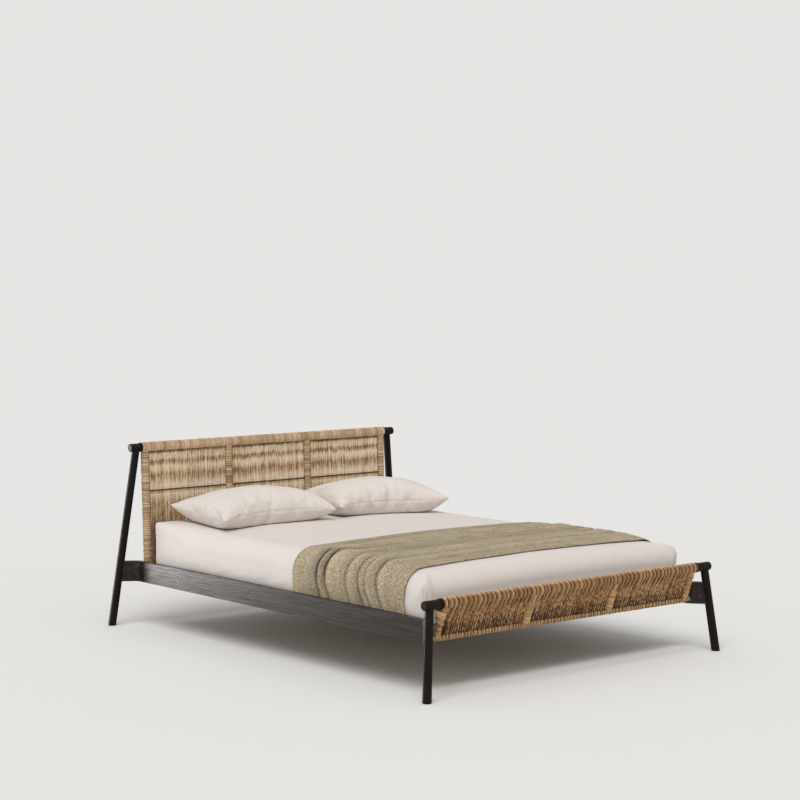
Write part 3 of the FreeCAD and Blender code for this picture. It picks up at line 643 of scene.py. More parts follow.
def edge_loops(board, batch, place, cord, field_out, seed):
    """Light strands that leave the field, pass round the left stile in a loose fan, and go back into the field."""
    local = np.random.default_rng(seed)
    count, steps = 9, 26
    tuck_start, tuck_end = math.radians(80), math.radians(108)
    turn = np.radians(np.linspace(-108, 108, steps))[None, :]
    share = np.linspace(0, 1, count)[:, None]
    bulge = 0.022 * (1 - share) ** 1.3 + 0.002 + local.normal(0, 0.0012, (count, 1))
    reach = 1.3 * board.post_radius + bulge
    across = place + 0.3 * board.post_radius - reach * np.cos(turn)
    proud = (board.post_radius + 0.5 * cord) * np.abs(np.sin(turn))
    tucked = smooth_step(tuck_start, tuck_end, np.abs(turn))
    out = np.sign(turn) * (proud * (1 - tucked) + field_out * tucked) + 0.002 * soft_noise(share * 7, seed + 1)
    drop = 0.027 + 0.052 * share + 0.014 * (1 - np.cos(turn)) + local.normal(0, 0.001, (count, 1))
    # Painted shade darkens the strands where they tuck back into the field.
    tone = 0.72 - 0.16 * share + 0.09 * local.uniform(-1, 1, (count, 1)) - 0.25 * tucked
    add_tubes(batch, board.at(across, drop, out), cord / 2, UPRIGHT, tone)


def head_post(board, batch, number, top, low, cord, weft_drop):
    """Winding of a headboard post, with a groove where the weft passes."""
    groove = (weft_drop - 0.7 * board.bar_radius, 0.003)
    add_winding(batch, top, low, board.post_radius, cord, even_tones(0.45, 0.18, 31 + number), 31 + number,
                gaps=(groove,), gap_depth=0.0016, pair_depth=0.0022)


def foot_post(board, batch, number, top, low, cord, _weft_drop):
    """Winding of a footboard post, which has no weft: a coarse one on a stile, and two layers on a mullion."""
    place, radius, seed = board.places[number], board.post_radius, 31 + number
    tones = even_tones(0.57, 0.18, 38 + number)
    if 0 < number < 3:
        add_winding(batch, top, low, radius, cord, tones, seed)
        # A second, looser winding lies over the middle of the post.
        top, low = board.at(place, np.array([0.050, 0.94 * board.reach]), np.zeros(2))
        add_winding(batch, top, low, radius + 0.003, 0.008, even_tones(0.6, 0.14, 38 + number), 38 + number,
                    pitch=0.0082, fine=6, pair_depth=0.0012)
    else:
        add_winding(batch, top, low, radius, 0.0105, tones, seed, pitch=0.0108, fine=7, pair_depth=0.002)
    if number < 3:
        post_cover(board, batch, place, cord, 71 + number)
    if number == 0:
        edge_loops(board, batch, place, cord, foot_style["field"]["rest_out"], 75)


# Painted light and shade on a bar winding, by height on the bar from its underside at -1 to its top at 1:
# the headboard's bar is darkened on top and lightened below, and the footboard's bar is darker above its
# middle, with a painted highlight along its very top.
head_painted_light = ((-0.9, 0.06), (-0.6, 0.07), (-0.3, 0.02), (0.2, -0.05), (0.8, -0.085))
foot_painted_light = ((-0.8, 0.03), (-0.4, 0.01), (0.0, -0.035), (0.4, -0.07), (0.6, -0.085), (0.8, 0.01), (0.95, 0.14))

head_style = {
    "material": head_cord, "cord": 0.0056, "weft_height": 0.660, "post": head_post, "field_seed": 51,
    "bar": {"cord": 0.0056, "tones": even_tones(0.465, 0.16, 22), "rim": head_painted_light},
    "low": {"cord": 0.0056, "tones": even_tones(0.4, 0.16, 42)},
    "field": {"cord": 0.005, "pitch": 0.0053, "rest_out": 0.0042, "leave": 0.42, "settle": 0.046, "steps": 66,
              "pairing": 0.0, "tones": head_tones, "back": 0.0},
}
foot_style = {
    "material": foot_cord, "cord": 0.0058, "weft_height": None, "post": foot_post, "field_seed": 61,
    "bar": {"cord": 0.0047, "tones": grouped_tones((4, 7), 0.07, 0.55, 77), "rim": foot_painted_light, "sink": 0.3,
            "drift_share": 0.24},
    "low": {"cord": 0.0058 * 1.25, "tones": grouped_tones((2, 4), 0.2, 0.62, 79), "pair_depth": 0.0026, "sink": 0.3},
    "field": {"cord": 0.0060, "pitch": 0.0068, "rest_out": 0.0046, "leave": 0.95, "settle": 0.075, "steps": 34,
              "pairing": 0.22, "tones": foot_tones, "back": 0.45},
}


def dress_board(board, style):
    """Cord pieces of a board: the bar's and the posts' windings and the three fields."""
    name, cord, bar, field = board.name, style["cord"], style["bar"], style["field"]
    edge = board.half_width * ACROSS

    def finish(batch, suffix, node):
        stand_in(batch.piece(f"{name}_{suffix}", style["material"]), "frame", f"{name}_{node}")

    bar_gaps = [(place + board.half_width + side * board.post_radius, 0.0035)
                for place in board.places[1:-1] for side in (-1, 1)]
    board.bar_tone = bar["tones"](int(round(2 * board.half_width / (bar["cord"] * CLOSE_PITCH))) + 1)
    winding = Batch()
    add_winding(winding, board.top - edge, board.top + edge, board.bar_radius, seed=21, around=28, fine=6,
                gaps=bar_gaps, **bar)
    finish(winding, "bar_cord", "bar_wrap")

    weft_drop = (board.top[2] - style["weft_height"]) / board.up[2] if style["weft_height"] else 0
    posts = Batch()
    for number, place in enumerate(board.places):
        top = board.top + place * ACROSS - board.up * (0.7 * board.bar_radius)
        low = board.low + place * ACROSS + board.up * (0.4 * board.low_radius)
        style["post"](board, posts, number, top, low, cord, weft_drop)
    add_winding(posts, board.low - edge, board.low + edge, board.low_radius, seed=41, around=20, **style["low"])
    finish(posts, "post_cord", "frame_wraps")

    for index, part in enumerate(("left", "centre", "right")):
        batch, left, right = weave_field(board, index, style["field_seed"] + index, weft_drop, **field)
        finish(batch, f"field_{part}", f"weave_{part}")
        if weft_drop:
            twine = twined_weft(board, left, right, weft_drop, field["rest_out"] + 0.001)
            piece = twine.piece(f"{name}_weft_{part}", weft_cord)
            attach(piece, "frame")


dress_board(Board("headboard", "head_bar"), head_style)
dress_board(Board("footboard", "foot_bar"), foot_style)

# Mattress and fitted sheet

sheet_low, sheet_high = box_corners("fitted_sheet")
bed_half = (sheet_high[0] - sheet_low[0]) / 2
bed_foot, bed_head = sheet_low[1], sheet_high[1]
bed_top, bed_bottom = sheet_high[2], sheet_low[2]
bed_length = bed_head - bed_foot
bed_middle = (bed_foot + bed_head) / 2
edge_round = 0.102
crown = 0.014
foot_corner_round = 0.034
soft_corner_round = 0.058
head_corner_round = 0.014
# Lengths over which an edge grows squarer towards a corner
foot_corner_reach = 0.11
head_corner_reach = 0.5
# Part of the sheet that is turned under
sheet_hem = 0.055


def end_fall(along):
    """Fall of the top towards the foot."""
    return 0.006 * (1 - smooth_step(0, 0.35, along - bed_foot))


def crown_fall(across, along):
    """Fall of the crowned top from its highest line."""
    side = np.clip(np.abs(across) / (bed_half - edge_round), 0, 1)
    at_head = smooth_step(bed_head - 0.5, bed_head - 0.08, along)
    return crown * side ** 2 * (1 - at_head) + 0.008 * (1 - side ** 2) * at_head + end_fall(along)


def edge_radius(near, corner, reach):
    """Radius of an edge, which grows squarer towards its corner."""
    return corner + (edge_round - corner) * smooth_step(0.0, reach, near)


def side_radius(along):
    foot = edge_radius(along - bed_foot, foot_corner_round, foot_corner_reach)
    head = edge_radius(bed_head - along, head_corner_round, head_corner_reach)
    return np.minimum(foot, head)


def edge_places(flat_steps, round_steps):
    """Share of the flat part and angle into the rounded edge, from one edge of the top to the other."""
    turn = np.linspace(0, math.pi / 2, round_steps + 1)
    ends = np.ones(round_steps)
    share = np.concatenate([-ends, np.linspace(-1, 1, flat_steps), ends])
    return share, np.concatenate([turn[:0:-1], np.zeros(flat_steps), turn[1:]])


def padded_form(inset, flat_steps, round_steps, wrinkle, seed):
    """Crowned top and rounded edges of the mattress as a grid of points, and the indices of its rim."""
    half = bed_half - inset
    foot, head = bed_foot + inset, bed_head - inset
    top = bed_top - inset
    (share_x, angle_x), (share_y, angle_y) = (edge_places(flat, round_steps) for flat in flat_steps)
    sx, sy = np.meshgrid(share_x, share_y, indexing="ij")
    ax, ay = np.meshgrid(angle_x, angle_y, indexing="ij")
    centre, half_long = (foot + head) / 2, (head - foot) / 2
    # The foot's left corner, where the sheet is pulled up, is rounder than the others.
    soft_corner = (sy < 0) & (sx < 0)
    corner = np.where(soft_corner, soft_corner_round, np.where(sy < 0, foot_corner_round, head_corner_round))
    near_end = np.where(ay > 0, edge_round * (1 - np.sin(ay)), edge_round + (1 - np.abs(sy)) * half_long)
    near_side = np.where(ax > 0, edge_round * (1 - np.sin(ax)), edge_round + (1 - np.abs(sx)) * half)
    at_foot = sy < 0
    radius_x = edge_radius(near_end, corner, np.where(at_foot, foot_corner_reach, head_corner_reach))
    radius_y = np.where(at_foot, edge_radius(near_side, corner, foot_corner_reach), 1.3 * corner)
    x = sx * (half - radius_x) + np.sign(sx) * radius_x * np.sin(ax) * (ax > 0)
    y = centre + sy * (half_long - radius_y) + np.sign(sy) * radius_y * np.sin(ay) * (ay > 0)
    fall = ((radius_x * (1 - np.cos(ax))) ** 3 + (radius_y * (1 - np.cos(ay))) ** 3) ** (1 / 3)
    z = top - crown_fall(x, y) - fall
    # The upright corners are rounded in plan.
    plan = np.where(soft_corner, 0.045, 0.015)
    cx = np.clip((np.abs(x) - (half - plan)) / plan, 0, 1)
    cy = np.clip((np.abs(y - centre) - (half_long - plan)) / plan, 0, 1)
    x = np.where((cx > 0) & (cy > 0), np.sign(x) * (half - plan + plan * cx * np.sqrt(1 - cy ** 2 / 2)), x)
    y = np.where((cx > 0) & (cy > 0), centre + np.sign(y - centre)
                 * (half_long - plan + plan * cy * np.sqrt(1 - cx ** 2 / 2)), y)
    grid = np.stack([x, y, z], -1)
    if wrinkle:
        ripple = 0.5 * soft_noise(x * 7 + 3 * soft_noise(y * 2.2, seed) + 20, seed + 1)
        ripple = ripple + 0.5 * soft_noise(y * 9 + 3 * soft_noise(x * 2.6 + 9, seed + 2) + 20, seed + 3)
        grid[..., 2] += wrinkle * ripple * np.cos(ax) * np.cos(ay) - wrinkle
    return grid, grid_rim(*grid.shape[:2])


def rim_distance(rim):
    """Distance round the rim at each of its points."""
    step = np.linalg.norm(np.diff(rim[:, :2], axis=0), axis=1)
    return np.concatenate([[0], np.cumsum(step)])


def outward(rim):
    """Level directions away from the mattress at each point of the rim."""
    tangent = np.roll(rim, -1, axis=0) - np.roll(rim, 1, axis=0)
    normal = np.stack([tangent[:, 1], -tangent[:, 0], np.zeros(len(rim))], -1)
    return unit(normal)


def wall_faces(rim_index, start, levels):
    """Faces down from a rim through rings of points that follow each other from start."""
    count = len(rim_index)
    rings = [rim_index] + [start + level * count + np.arange(count) for level in range(levels)]
    return [ring_faces(above, below) for above, below in zip(rings, rings[1:])]


def build_sheet():
    """Points and faces of the sheet: over the top, down the sides and turned under by its hem."""
    grid, rim_index = padded_form(0.0, (120, 160), 18, 0.0012, 71)
    top_points = grid.reshape(-1, 3)
    rim = top_points[rim_index]
    away = outward(rim)
    distance = rim_distance(rim)
    side_levels, hem_levels = 20, 8
    slack, belly, pleat_height, tuck = 0.0022, 0.006, 0.0065, 0.004
    to_corner = np.hypot(bed_half - np.abs(rim[:, 0]), np.minimum(rim[:, 1] - bed_foot, bed_head - rim[:, 1]))
    # Distance round the foot's corners from their middle line, where the sheet is sewn into a pleat.
    beside = (bed_half - np.abs(rim[:, 0]) - rim[:, 1] + bed_foot) / math.sqrt(2)
    pleat = hump(beside - 0.002, 0.0034) - 0.8 * hump(beside + 0.0055, 0.003)
    pleat = pleat_height * pleat * ((to_corner < 0.08) & (rim[:, 1] < 0))
    fine_ripple = 0.45 * soft_noise(distance * 27 + 5, 83)
    rows = []
    for share in np.arange(1, side_levels + 1) / side_levels:
        height = rim[:, 2] + (bed_bottom + tuck - rim[:, 2]) * share
        shift = 0.8 * soft_noise(np.full(len(rim), share * 3), 81)
        ripple = 0.55 * soft_noise(distance * 11 + shift, 82) + fine_ripple
        push = slack * ripple * smooth_step(0, 0.5, share) - slack * smooth_step(0, 0.4, share)
        push = push + belly * math.sin(math.pi * min(share * 1.25, 1.0)) * smooth_step(0.0, 0.15, to_corner)
        push = push + pleat * smooth_step(0.0, 0.07, share)
        rows.append(np.stack([rim[:, 0], rim[:, 1], height], -1) + away * push[:, None])
    gather = 0.002 + 0.0016 * soft_noise(distance * 45, 84)
    for share in np.arange(1, hem_levels + 1) / hem_levels:
        base = rim - away * (sheet_hem * share + tuck)
        base[:, 2] = bed_bottom + 0.35 * (slack + gather * share)
        rows.append(base)
    faces = [grid_faces(*grid.shape[:2])] + wall_faces(rim_index, len(top_points), side_levels + hem_levels)
    return np.concatenate([top_points] + rows), np.concatenate(faces)


points, faces = build_sheet()
sheet = quad_mesh("sheet_fitted", points, faces, sheet_cotton)
thick = sheet.modifiers.new("cloth", "SOLIDIFY")
thick.thickness = 0.0012
thick.offset = -1
stand_in(sheet, "mattress", "fitted_sheet")


def build_mattress():
    """Mattress inside the sheet: the same form a little smaller, closed below by a quilted panel."""
    inset, side_inset, panel_inset = 0.003, 0.0035, 0.0095
    grid, rim_index = padded_form(inset, (40, 54), 8, 0, 0)
    top_points = grid.reshape(-1, 3)
    rim = top_points[rim_index]
    away = outward(rim)
    levels = 8
    bottom = bed_bottom + 0.0045
    rows = []
    for share in np.arange(1, levels + 1) / levels:
        height = rim[:, 2] + (bottom + 0.012 - rim[:, 2]) * share
        rows.append(np.stack([rim[:, 0], rim[:, 1], height], -1) - away * side_inset)
    panel_x = np.linspace(0, 1, grid.shape[0])[:, None]
    panel_y = np.linspace(0, 1, grid.shape[1])[None, :]
    edge = np.minimum(np.minimum(panel_x, 1 - panel_x) * 2 * bed_half,
                      np.minimum(panel_y, 1 - panel_y) * bed_length)
    quilt = np.abs(np.sin(panel_x * 8 * math.pi)) * np.abs(np.sin(panel_y * 11 * math.pi))
    under = grid.copy()
    under[..., 0] *= (bed_half - panel_inset) / (bed_half - inset)
    under[..., 1] = (under[..., 1] - bed_middle) * 0.9965 + bed_middle
    under[..., 2] = bottom + 0.010 * (1 - smooth_step(0, 0.03, edge)) + 0.003 * (1 - np.sqrt(quilt))
    panel_start = len(top_points) + levels * len(rim)
    last_ring = panel_start - len(rim) + np.arange(len(rim))
    top_faces = grid_faces(*grid.shape[:2])
    faces = [top_faces] + wall_faces(rim_index, len(top_points), levels)
    faces += [ring_faces(last_ring, panel_start + rim_index), top_faces[:, ::-1] + panel_start]
    return np.concatenate([top_points] + rows + [under.reshape(-1, 3)]), np.concatenate(faces)


points, faces = build_mattress()
mattress = quad_mesh("mattress_pad", points, faces, ticking)
stand_in(mattress, "mattress", "mattress")

# Pillows


def relaxed(points, faces, rounds):
    """Points drawn towards their neighbours, which takes the sharpest creases out of a case."""
    pairs = np.concatenate([faces[:, [0, 1]], faces[:, [1, 2]], faces[:, [2, 3]], faces[:, [3, 0]]])
    count = np.bincount(pairs[:, 0], minlength=len(points))[:, None]
    for _ in range(rounds):
        total = np.zeros_like(points)
        np.add.at(total, pairs[:, 0], points[pairs[:, 1]])
        points = points + 0.6 * (total / count - points)
    return points


def inflate(name, length, depth, cells, frames, pressure, seed):
    """A sewn case, flat at first, blown up by cloth simulation; returns its points and faces."""
    local = np.random.default_rng(seed)
    columns, rows = cells
    u, v = np.meshgrid(np.linspace(-1, 1, columns + 1), np.linspace(-1, 1, rows + 1), indexing="ij")
    bulge = (1 - u ** 2) * (1 - v ** 2)
    flat = np.stack([u * length / 2, v * depth / 2, 0.02 * bulge], -1)
    flat[..., 2] += local.normal(0, 0.0006, u.shape) * (bulge > 0.02)
    inner = bulge.ravel() > 1e-9
    index_top = np.arange(u.size)
    index_low = np.where(inner, 0, index_top)
    index_low[inner] = u.size + np.arange(inner.sum())
    low = flat.reshape(-1, 3)[inner] * (1, 1, -1)
    points = np.concatenate([flat.reshape(-1, 3), low])
    faces = grid_faces(columns + 1, rows + 1)
    faces = np.concatenate([faces, index_low[faces][:, ::-1]])
    piece = quad_mesh(name, points, faces, pillow_cotton)
    cloth = piece.modifiers.new("case", "CLOTH")
    settings = cloth.settings
    settings.quality = 6
    settings.mass = 0.25
    settings.air_damping = 4
    settings.tension_stiffness = 25
    settings.compression_stiffness = 25
    settings.shear_stiffness = 8
    settings.bending_stiffness = 0.35
    settings.use_pressure = True
    settings.uniform_pressure_force = pressure
    settings.effector_weights.gravity = 0
    cloth.point_cache.frame_start = 1
    cloth.point_cache.frame_end = frames
    for number in range(1, frames + 1):
        scene.frame_set(number)
    shape = piece.evaluated_get(bpy.context.evaluated_depsgraph_get()).to_mesh()
    blown = np.empty(len(shape.vertices) * 3, np.float32)
    shape.vertices.foreach_get("co", blown)
    blown = blown.reshape(-1, 3).astype(float)
    blown = relaxed(blown, faces, 5)
    mesh = piece.data
    bpy.data.objects.remove(piece)
    bpy.data.meshes.remove(mesh)
    scene.frame_set(1)
    return blown, faces


def sheet_height(across, along):
    return bed_top - crown_fall(across, along)


def settle(blown, node, turn_degrees, length, depth, rise, seam, corner_lifts, shift):
    """Places a blown case on the sheet: sized to its CAD node, flattened below by its own weight."""
    centre = middle(node) + (shift, 0, 0)
    shape = blown - (blown.max(0) + blown.min(0)) / 2
    shape = shape * (length / np.ptp(shape[:, 0]), depth / np.ptp(shape[:, 1]), 1.0)
    front_share = np.clip(-shape[:, 1] / (depth / 2), 0, 1)
    shape[:, 0] *= 1 - 0.06 * front_share ** 2
    peak = shape[:, 2].max()
    upper = np.clip(shape[:, 2], 0, None) / peak
    lower = np.clip(-shape[:, 2], 0, None) / peak
    across = shape[:, 0] / (length / 2)
    along = shape[:, 1] / (depth / 2)
    corner = np.clip(np.abs(across), 0, 1) ** 3 * np.clip(np.abs(along), 0, 1) ** 3
    left, right = (across < 0), (across >= 0)
    front, back = (along < 0), (along >= 0)
    lift = corner * (corner_lifts[0] * (left & front) + corner_lifts[1] * (right & front)
                     + corner_lifts[2] * (left & back) + corner_lifts[3] * (right & back))
    # The underside meets the bed and spreads flat on it.
    height = seam + (rise - seam) * upper - 1.9 * seam * lower + lift
    flat = 0.004
    height = flat * np.log1p(np.exp(np.clip(height / flat, -50, 50)))
    turn = math.radians(turn_degrees)
    x = centre[0] + shape[:, 0] * math.cos(turn) - shape[:, 1] * math.sin(turn)
    y = centre[1] + shape[:, 0] * math.sin(turn) + shape[:, 1] * math.cos(turn)
    z = sheet_height(x, y) + 0.0012 + height
    return np.stack([x, y, z], -1)


def stitched(points, faces, cells, depth, pucker, seed):
    """Draws in the seam along the long edges of the case, and puckers the top beside all its edges."""
    columns, rows = cells
    corners = points[faces]
    facing = np.cross(corners[:, 2] - corners[:, 0], corners[:, 3] - corners[:, 1])
    normal = np.zeros_like(points)
    for corner in range(4):
        np.add.at(normal, faces[:, corner], facing)
    column, row = np.meshgrid(np.arange(columns + 1), np.arange(rows + 1), indexing="ij")
    from_end, from_side = np.minimum(column, columns - column).ravel(), np.minimum(row, rows - row).ravel()
    normal = unit(normal)
    ripples = np.zeros(from_end.size)
    for inward, beside in ((from_end, row.ravel() + 40 * (column.ravel() > columns / 2)),
                           (from_side, column.ravel() + 120 * (row.ravel() > rows / 2))):
        reach = 15 + 4 * soft_noise(beside / 2.3 + 9, seed + 1)
        near = smooth_step(0, 3, inward) * (1 - smooth_step(4, reach, inward))
        ripples += near * soft_noise(beside / 1.7 + 0.12 * inward, seed)
    points[:ripples.size] += (pucker * ripples)[:, None] * normal[:ripples.size]
    seam = np.flatnonzero(from_side == 0)
    free = smooth_step(4, 12, from_end[seam])[:, None]
    points[seam] -= depth * free * normal[seam]
    return points


def build_pillow(side, turn_degrees, corner_lifts, seed, shift):
    node = f"pillow_{side}"
    cells = (84, 56)
    blown, faces = inflate(f"case_{side}", length=0.75, depth=0.50, cells=cells, frames=32, pressure=4.0, seed=seed)
    points = settle(blown, node, turn_degrees, length=0.694, depth=0.475, rise=0.174, seam=0.064,
                    corner_lifts=corner_lifts, shift=shift)
    points = stitched(points, faces, cells, depth=0.0038, pucker=0.0026, seed=seed + 80)
    piece = quad_mesh(f"pillow_{side}_case", points, faces, pillow_cotton)
    smooth = piece.modifiers.new("smooth", "SUBSURF")
    smooth.levels = 1
    smooth.render_levels = 1
    stand_in(piece, node, node)


# Corner lifts: front left, front right, back left, back right
build_pillow("left", turn_degrees=-3.0, corner_lifts=(-0.010, -0.018, 0.014, 0.0), seed=5, shift=0.014)
build_pillow("right", turn_degrees=-9.0, corner_lifts=(-0.012, 0.020, 0.0, 0.010), seed=6, shift=0.0)

# Throw

throw_low, throw_high = box_corners("throw")
throw_head, throw_foot = throw_high[1], throw_low[1]
throw_hem = throw_low[2]
cloth_thickness = 0.0045
# Creases on each side: place along the bed, slant towards the foot over the hanging length, height of the fold
# that follows towards the foot, width of the crease, its share of the full depth, and how much painted shade
# it gets above and below.
left_folds = ((-0.129, 0.000, 0.019, 0.010, 1.0, 0.0, 0.0), (-0.326, 0.016, 0.022, 0.016, 1.0, 0.95, 0.55),
              (-0.384, 0.022, 0.022, 0.016, 1.0, 0.95, 0.45), (-0.528, 0.022, 0.020, 0.012, 0.55, 0.35, 0.35),
              (-0.606, 0.042, 0.018, 0.011, 0.8, 0.45, 0.50), (-0.649, 0.042, 0.019, 0.010, 0.6, 0.30, 0.45),
              (-0.730, 0.042, 0.017, 0.014, 0.7, 0.60, 0.40), (-0.901, 0.000, 0.0, 0.010, 1.0, 0.0, 0.0))
right_folds = ((-0.129, 0.000, 0.014, 0.012, 1.0, 0.0, 0.0), (-0.330, 0.015, 0.020, 0.012, 1.0, 0.7, 0.5),
               (-0.520, 0.010, 0.018, 0.012, 0.7, 0.4, 0.4), (-0.590, 0.010, 0.020, 0.012, 1.0, 0.6, 0.4),
               (-0.720, 0.010, 0.018, 0.012, 0.7, 0.4, 0.4), (-0.901, 0.000, 0.0, 0.012, 1.0, 0.0, 0.0))
# Section of a fold: distance from its crease in widths of the crease, share of its height, and lean of its crest.
fold_rise = ((0.14, 0.30, 0.05), (0.32, 0.74, 0.16), (0.55, 0.96, 0.18), (0.9, 1.0, 0.12), (2.0, 0.94, 0.0))
fold_fall = ((2.0, 0.78, 0.0), (1.25, 0.76, 0.0), (0.85, 0.60, 0.0), (0.5, 0.28, 0.0), (0.18, 0.05, 0.0))
edge_rise = ((0.0, 0.12, 0.0), (3.0, 0.40, 0.0), (6.0, 0.62, 0.0))


def fold_columns(folds, along):
    """Height, lean and slant of a side's folds at places along the bed."""
    stations = []
    last = len(folds) - 2
    for number, (fold, following) in enumerate(zip(folds, folds[1:])):
        start, height, width, depth = fold[0], fold[2], fold[3], fold[4]
        end, next_width, next_depth = following[0], following[3], following[4]
        for share, level, lean in edge_rise if number == 0 else fold_rise:
            stations.append((start - share * width, (1 - (1 - level) * depth) * height, lean * height * depth))
        for share, level, lean in edge_rise[::-1] if number == last else fold_fall:
            stations.append((end + share * next_width, (1 - (1 - level) * next_depth) * height, lean * height))
        if number < last:
            stations.append((end, (1 - next_depth) * height, 0.0))
    stations = np.array(stations)[::-1]
    height = np.interp(along, stations[:, 0], stations[:, 1])
    lean = np.interp(along, stations[:, 0], stations[:, 2])
    marks = np.array(folds)[::-1]
    return height, lean, np.interp(along, marks[:, 0], marks[:, 1])


def crease_shade(folds, along, upper):
    """Painted shade in the deep of a crease and towards it, and a painted highlight on the crest beside it."""
    shade = np.ones(np.broadcast(along, upper).shape)
    for place, _, _, width, depth, dark_above, dark_below in folds[1:-1]:
        dark = dark_below + (dark_above - dark_below) * upper
        from_crease = along - place
        shade *= 1 - 0.88 * dark * hump(from_crease - 0.95 * width, 0.62 * width)
        shade *= 1 - 0.34 * dark * hump(from_crease - 2.4 * width, 1.6 * width)
        shade += 0.16 * depth * hump(from_crease + 1.7 * width, 1.2 * width)
    return shade


def build_throw():
    """Inner and outer face of the throw, laid over the sheet's section with folds down both sides."""
    along = np.linspace(throw_head, throw_foot, 252)
    radius = side_radius(along)[None, :]
    edge_top = bed_top - crown - end_fall(along)[None, :]
    hang_share = np.linspace(0, 1, 27)[:-1, None]
    turn = np.linspace(0, math.pi / 2, 15)[:, None]
    top_share = np.linspace(1, -1, 92)[1:-1, None]
    level = np.ones((1, len(along)))
    hang_x = bed_half * level * np.ones_like(hang_share)
    hang_z = throw_hem + hang_share * (edge_top - radius - throw_hem)
    arc_x = bed_half - radius + radius * np.cos(turn)
    arc_z = edge_top - radius + radius * np.sin(turn)
    top_x = top_share * (bed_half - radius)
    top_z = bed_top - crown_fall(top_x, along[None, :])
    x = np.concatenate([hang_x, arc_x, top_x, -arc_x[::-1], -hang_x[::-1]])
    z = np.concatenate([hang_z, arc_z, top_z, arc_z[::-1], hang_z[::-1]])
    upright, cos, sin = np.zeros_like(hang_share), np.cos(turn), np.sin(turn)
    out_x = np.concatenate([upright + 1, cos, 0.03 * top_share, -cos[::-1], upright - 1]) * level
    out_z = np.concatenate([upright, sin, np.ones_like(top_share), sin[::-1], upright]) * level
    y = np.broadcast_to(along[None, :], x.shape)
    depth = np.clip((edge_top - 0.5 * edge_round - z) / (edge_top - 0.5 * edge_round - throw_hem), 0, 1)
    inward = np.clip(bed_half - 0.6 * edge_round - np.abs(x), 0, None)
    reach = 0.10 + 0.05 * soft_noise(y * 19 + 40, 90)
    fade = np.exp(-(inward / reach) ** 1.3)
    low_fade = 0.2 + 0.8 * smooth_step(throw_hem + 0.006, throw_hem + 0.085, z)
    left, right = fold_columns(left_folds, along), fold_columns(right_folds, along)
    height, lean, slant = (np.where(x < 0, a[None, :], b[None, :]) for a, b in zip(left, right))
    # Long shallow ridges run over the top.
    meander = 0.012 * soft_noise(x * 2.3 + 12, 91) + 0.008 * soft_noise(x * 5.1 + 31, 92)
    long_wave, short_wave = soft_noise((y + meander) * 15 + 40, 93), soft_noise((y - meander) * 29 + 40, 94)
    ridge = 0.65 * np.abs(long_wave) + 0.35 * np.abs(short_wave)
    # Painted shade lies along the valleys between the ridges.
    painted_valley_shade = hump(long_wave, 0.3) * (0.5 + 0.5 * soft_noise(x * 2.1 + 70, 99)) + 0.3 * hump(short_wave, 0.3)
    edge = np.minimum(throw_head - y, y - throw_foot)
    ridge = ridge * smooth_step(0.0, 0.05, edge) * (0.45 + 0.55 * np.abs(soft_noise(x * 3 + 50, 95)))
    crumple = 0.0009 * soft_noise(y * 61 + 3 * soft_noise(z * 30 + x * 30 + 40, 97) + 80, 98)
    lift = (0.0014 + height * fade * low_fade + 0.014 * ridge * (1 - 0.8 * fade) * low_fade
            + (crumple + 0.0009) * low_fade)
    drift = 0.004 * soft_noise(x * 4 + 60, 96) * (1 - 0.5 * fade)
    y = y + lean * fade * low_fade - slant * depth + drift
    base = np.stack([x, y, z], -1)
    out = unit(np.stack([out_x, np.zeros_like(x), out_z], -1))
    inner = base + out * lift[..., None]
    hem_band = 1 - smooth_step(0.010, 0.016, edge)
    upper = 1 - smooth_step(0.05, 0.55, depth)
    left_shade, right_shade = (crease_shade(folds, along[None, :], upper) for folds in (left_folds, right_folds))
    shade = np.where(x < 0, left_shade, right_shade)
    # The painted crease shade shows on the hanging sides, and the painted valley shade on the top.
    shade = 1 + (shade - 1) * np.clip(fade * 1.15, 0, 1) - 0.46 * painted_valley_shade * (1 - fade)
    thickness = cloth_thickness + 0.0015 * hem_band * smooth_step(-0.001, 0.003, edge)
    return shade, inner, inner + out * thickness[..., None]


def closed_cloth(name, inner, surface, material, shade):
    """Two faces of a cloth joined by a rounded rim."""
    rows, columns = inner.shape[:2]
    top, low = surface.reshape(-1, 3), inner.reshape(-1, 3)
    rim = grid_rim(rows, columns)
    across = np.roll(top[rim], -1, axis=0) - np.roll(top[rim], 1, axis=0)
    away = unit(np.cross(across, top[rim] - low[rim]))
    points = np.concatenate([top, low, (top[rim] + low[rim]) / 2 + away * 0.0025])
    faces = grid_faces(rows, columns)
    low_start = len(top)
    round_rim = 2 * len(top) + np.arange(len(rim))
    quads = np.concatenate([faces, faces[:, ::-1] + low_start, ring_faces(rim, round_rim),
                            ring_faces(round_rim, low_start + rim)])
    # The tone of every point is the painted shade from the folds.
    tone = np.concatenate([shade.ravel(), shade.ravel(), shade.ravel()[rim]])
    return quad_mesh(name, points, quads, material, values={"tone": tone})


shade, inner, surface = build_throw()
throw = closed_cloth("throw_blanket", inner, surface, throw_wool, shade)
stand_in(throw, "throw", "throw")

# Floor, light and camera

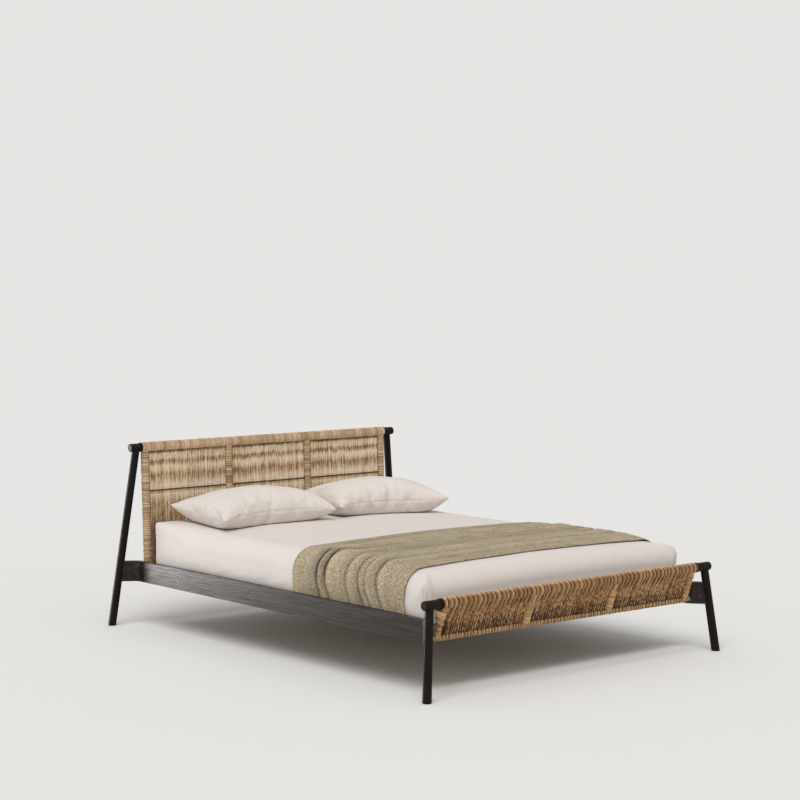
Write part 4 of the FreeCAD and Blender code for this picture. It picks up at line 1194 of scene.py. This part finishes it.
floor_mesh = bpy.data.meshes.new("floor")
camera_place = Vector((-6.0383, -7.1753, 1.7420))
yaw, pitch = math.radians(39.906), math.radians(3.713)
ahead = Vector((math.sin(yaw), math.cos(yaw), 0))
beside = Vector((math.cos(yaw), -math.sin(yaw), 0))
ground = Vector((camera_place.x, camera_place.y, 0))
floor_near, floor_far, floor_half = -6, 13.2, 14
corners = [ground + ahead * depth + beside * width for depth, width in (
    (floor_near, -floor_half), (floor_near, floor_half), (floor_far, floor_half), (floor_far, -floor_half))]
floor_mesh.from_pydata([tuple(corner) for corner in corners], [], [(0, 1, 2, 3)])
floor = bpy.data.objects.new("floor", floor_mesh)
scene.collection.objects.link(floor)
floor_mesh.materials.append(shader("floor_paint", (0.80, 0.80, 0.795), 0.9, specular=0.1)[0])

# The world lights the bed evenly, and is seen, also in gloss, as a pale wall.
world = bpy.data.worlds.new("studio")
scene.world = world
world.use_nodes = True
tree = world.node_tree
soft = tree.nodes["Background"]
soft.inputs["Color"].default_value = (1.0, 0.985, 0.97, 1)
soft.inputs["Strength"].default_value = 0.52
seen = add(tree, "ShaderNodeBackground", Color=(0.80, 0.79, 0.775, 1))
light_path = add(tree, "ShaderNodeLightPath")
direct = maths(tree, "MAXIMUM", light_path.outputs["Is Camera Ray"], light_path.outputs["Is Glossy Ray"])
direct = maths(tree, "MAXIMUM", direct, light_path.outputs["Is Transmission Ray"])
mix = add(tree, "ShaderNodeMixShader")
tree.links.new(direct, mix.inputs["Fac"])
tree.links.new(soft.outputs["Background"], mix.inputs[1])
tree.links.new(seen.outputs["Background"], mix.inputs[2])
tree.links.new(mix.outputs["Shader"], tree.nodes["World Output"].inputs["Surface"])


def sun(name, towards, strength, spread, colour):
    """Wide, even light from far away; towards points from the bed to the light."""
    data = bpy.data.lights.new(name, "SUN")
    data.energy = strength
    data.angle = math.radians(spread)
    data.color = colour
    holder = bpy.data.objects.new(name, data)
    holder.rotation_euler = Vector(towards).to_track_quat("Z", "Y").to_euler()
    scene.collection.objects.link(holder)


sun("key", (-0.42, -0.34, 0.84), 1.75, 42, (1.0, 0.99, 0.975))


def softbox(name, place, target, size, power, lit):
    """Low light beside the bed, for the pieces in lit alone: elsewhere it would print its own shape."""
    data = bpy.data.lights.new(name, "AREA")
    data.shape = "RECTANGLE"
    data.size, data.size_y = size
    data.energy = power
    holder = bpy.data.objects.new(name, data)
    holder.location = place
    holder.rotation_euler = (Vector(target) - Vector(place)).to_track_quat("-Z", "Y").to_euler()
    holder.visible_camera = False
    scene.collection.objects.link(holder)
    holder.light_linking.receiver_collection = bpy.data.collections.new(f"{name}_lights")
    for piece in lit:
        holder.light_linking.receiver_collection.objects.link(piece)


black_pieces = [node for node in nodes.values() if node.data.materials[0] in (black_x, black_y, black_z)]
for name, power, lit in (("edge", 48, (sheet, throw)), ("gloss", 98, black_pieces)):
    softbox(name, (-2.5, 3.7, 0.40), (-0.8, 0.9, 0.3), (1.3, 0.7), power, lit)

camera_data = bpy.data.cameras.new("camera")
focal_pixels, photo_pixels, sensor = 1985.2, 800, 36
camera_data.sensor_width = sensor
camera_data.lens = focal_pixels / photo_pixels * sensor
camera_data.clip_end = 200
camera = bpy.data.objects.new("camera", camera_data)
camera.location = camera_place
camera.rotation_euler = (math.pi / 2 - pitch, 0, -yaw)
scene.collection.objects.link(camera)
scene.camera = camera
scene.view_settings.view_transform = "Standard"

bpy.context.view_layer.update()
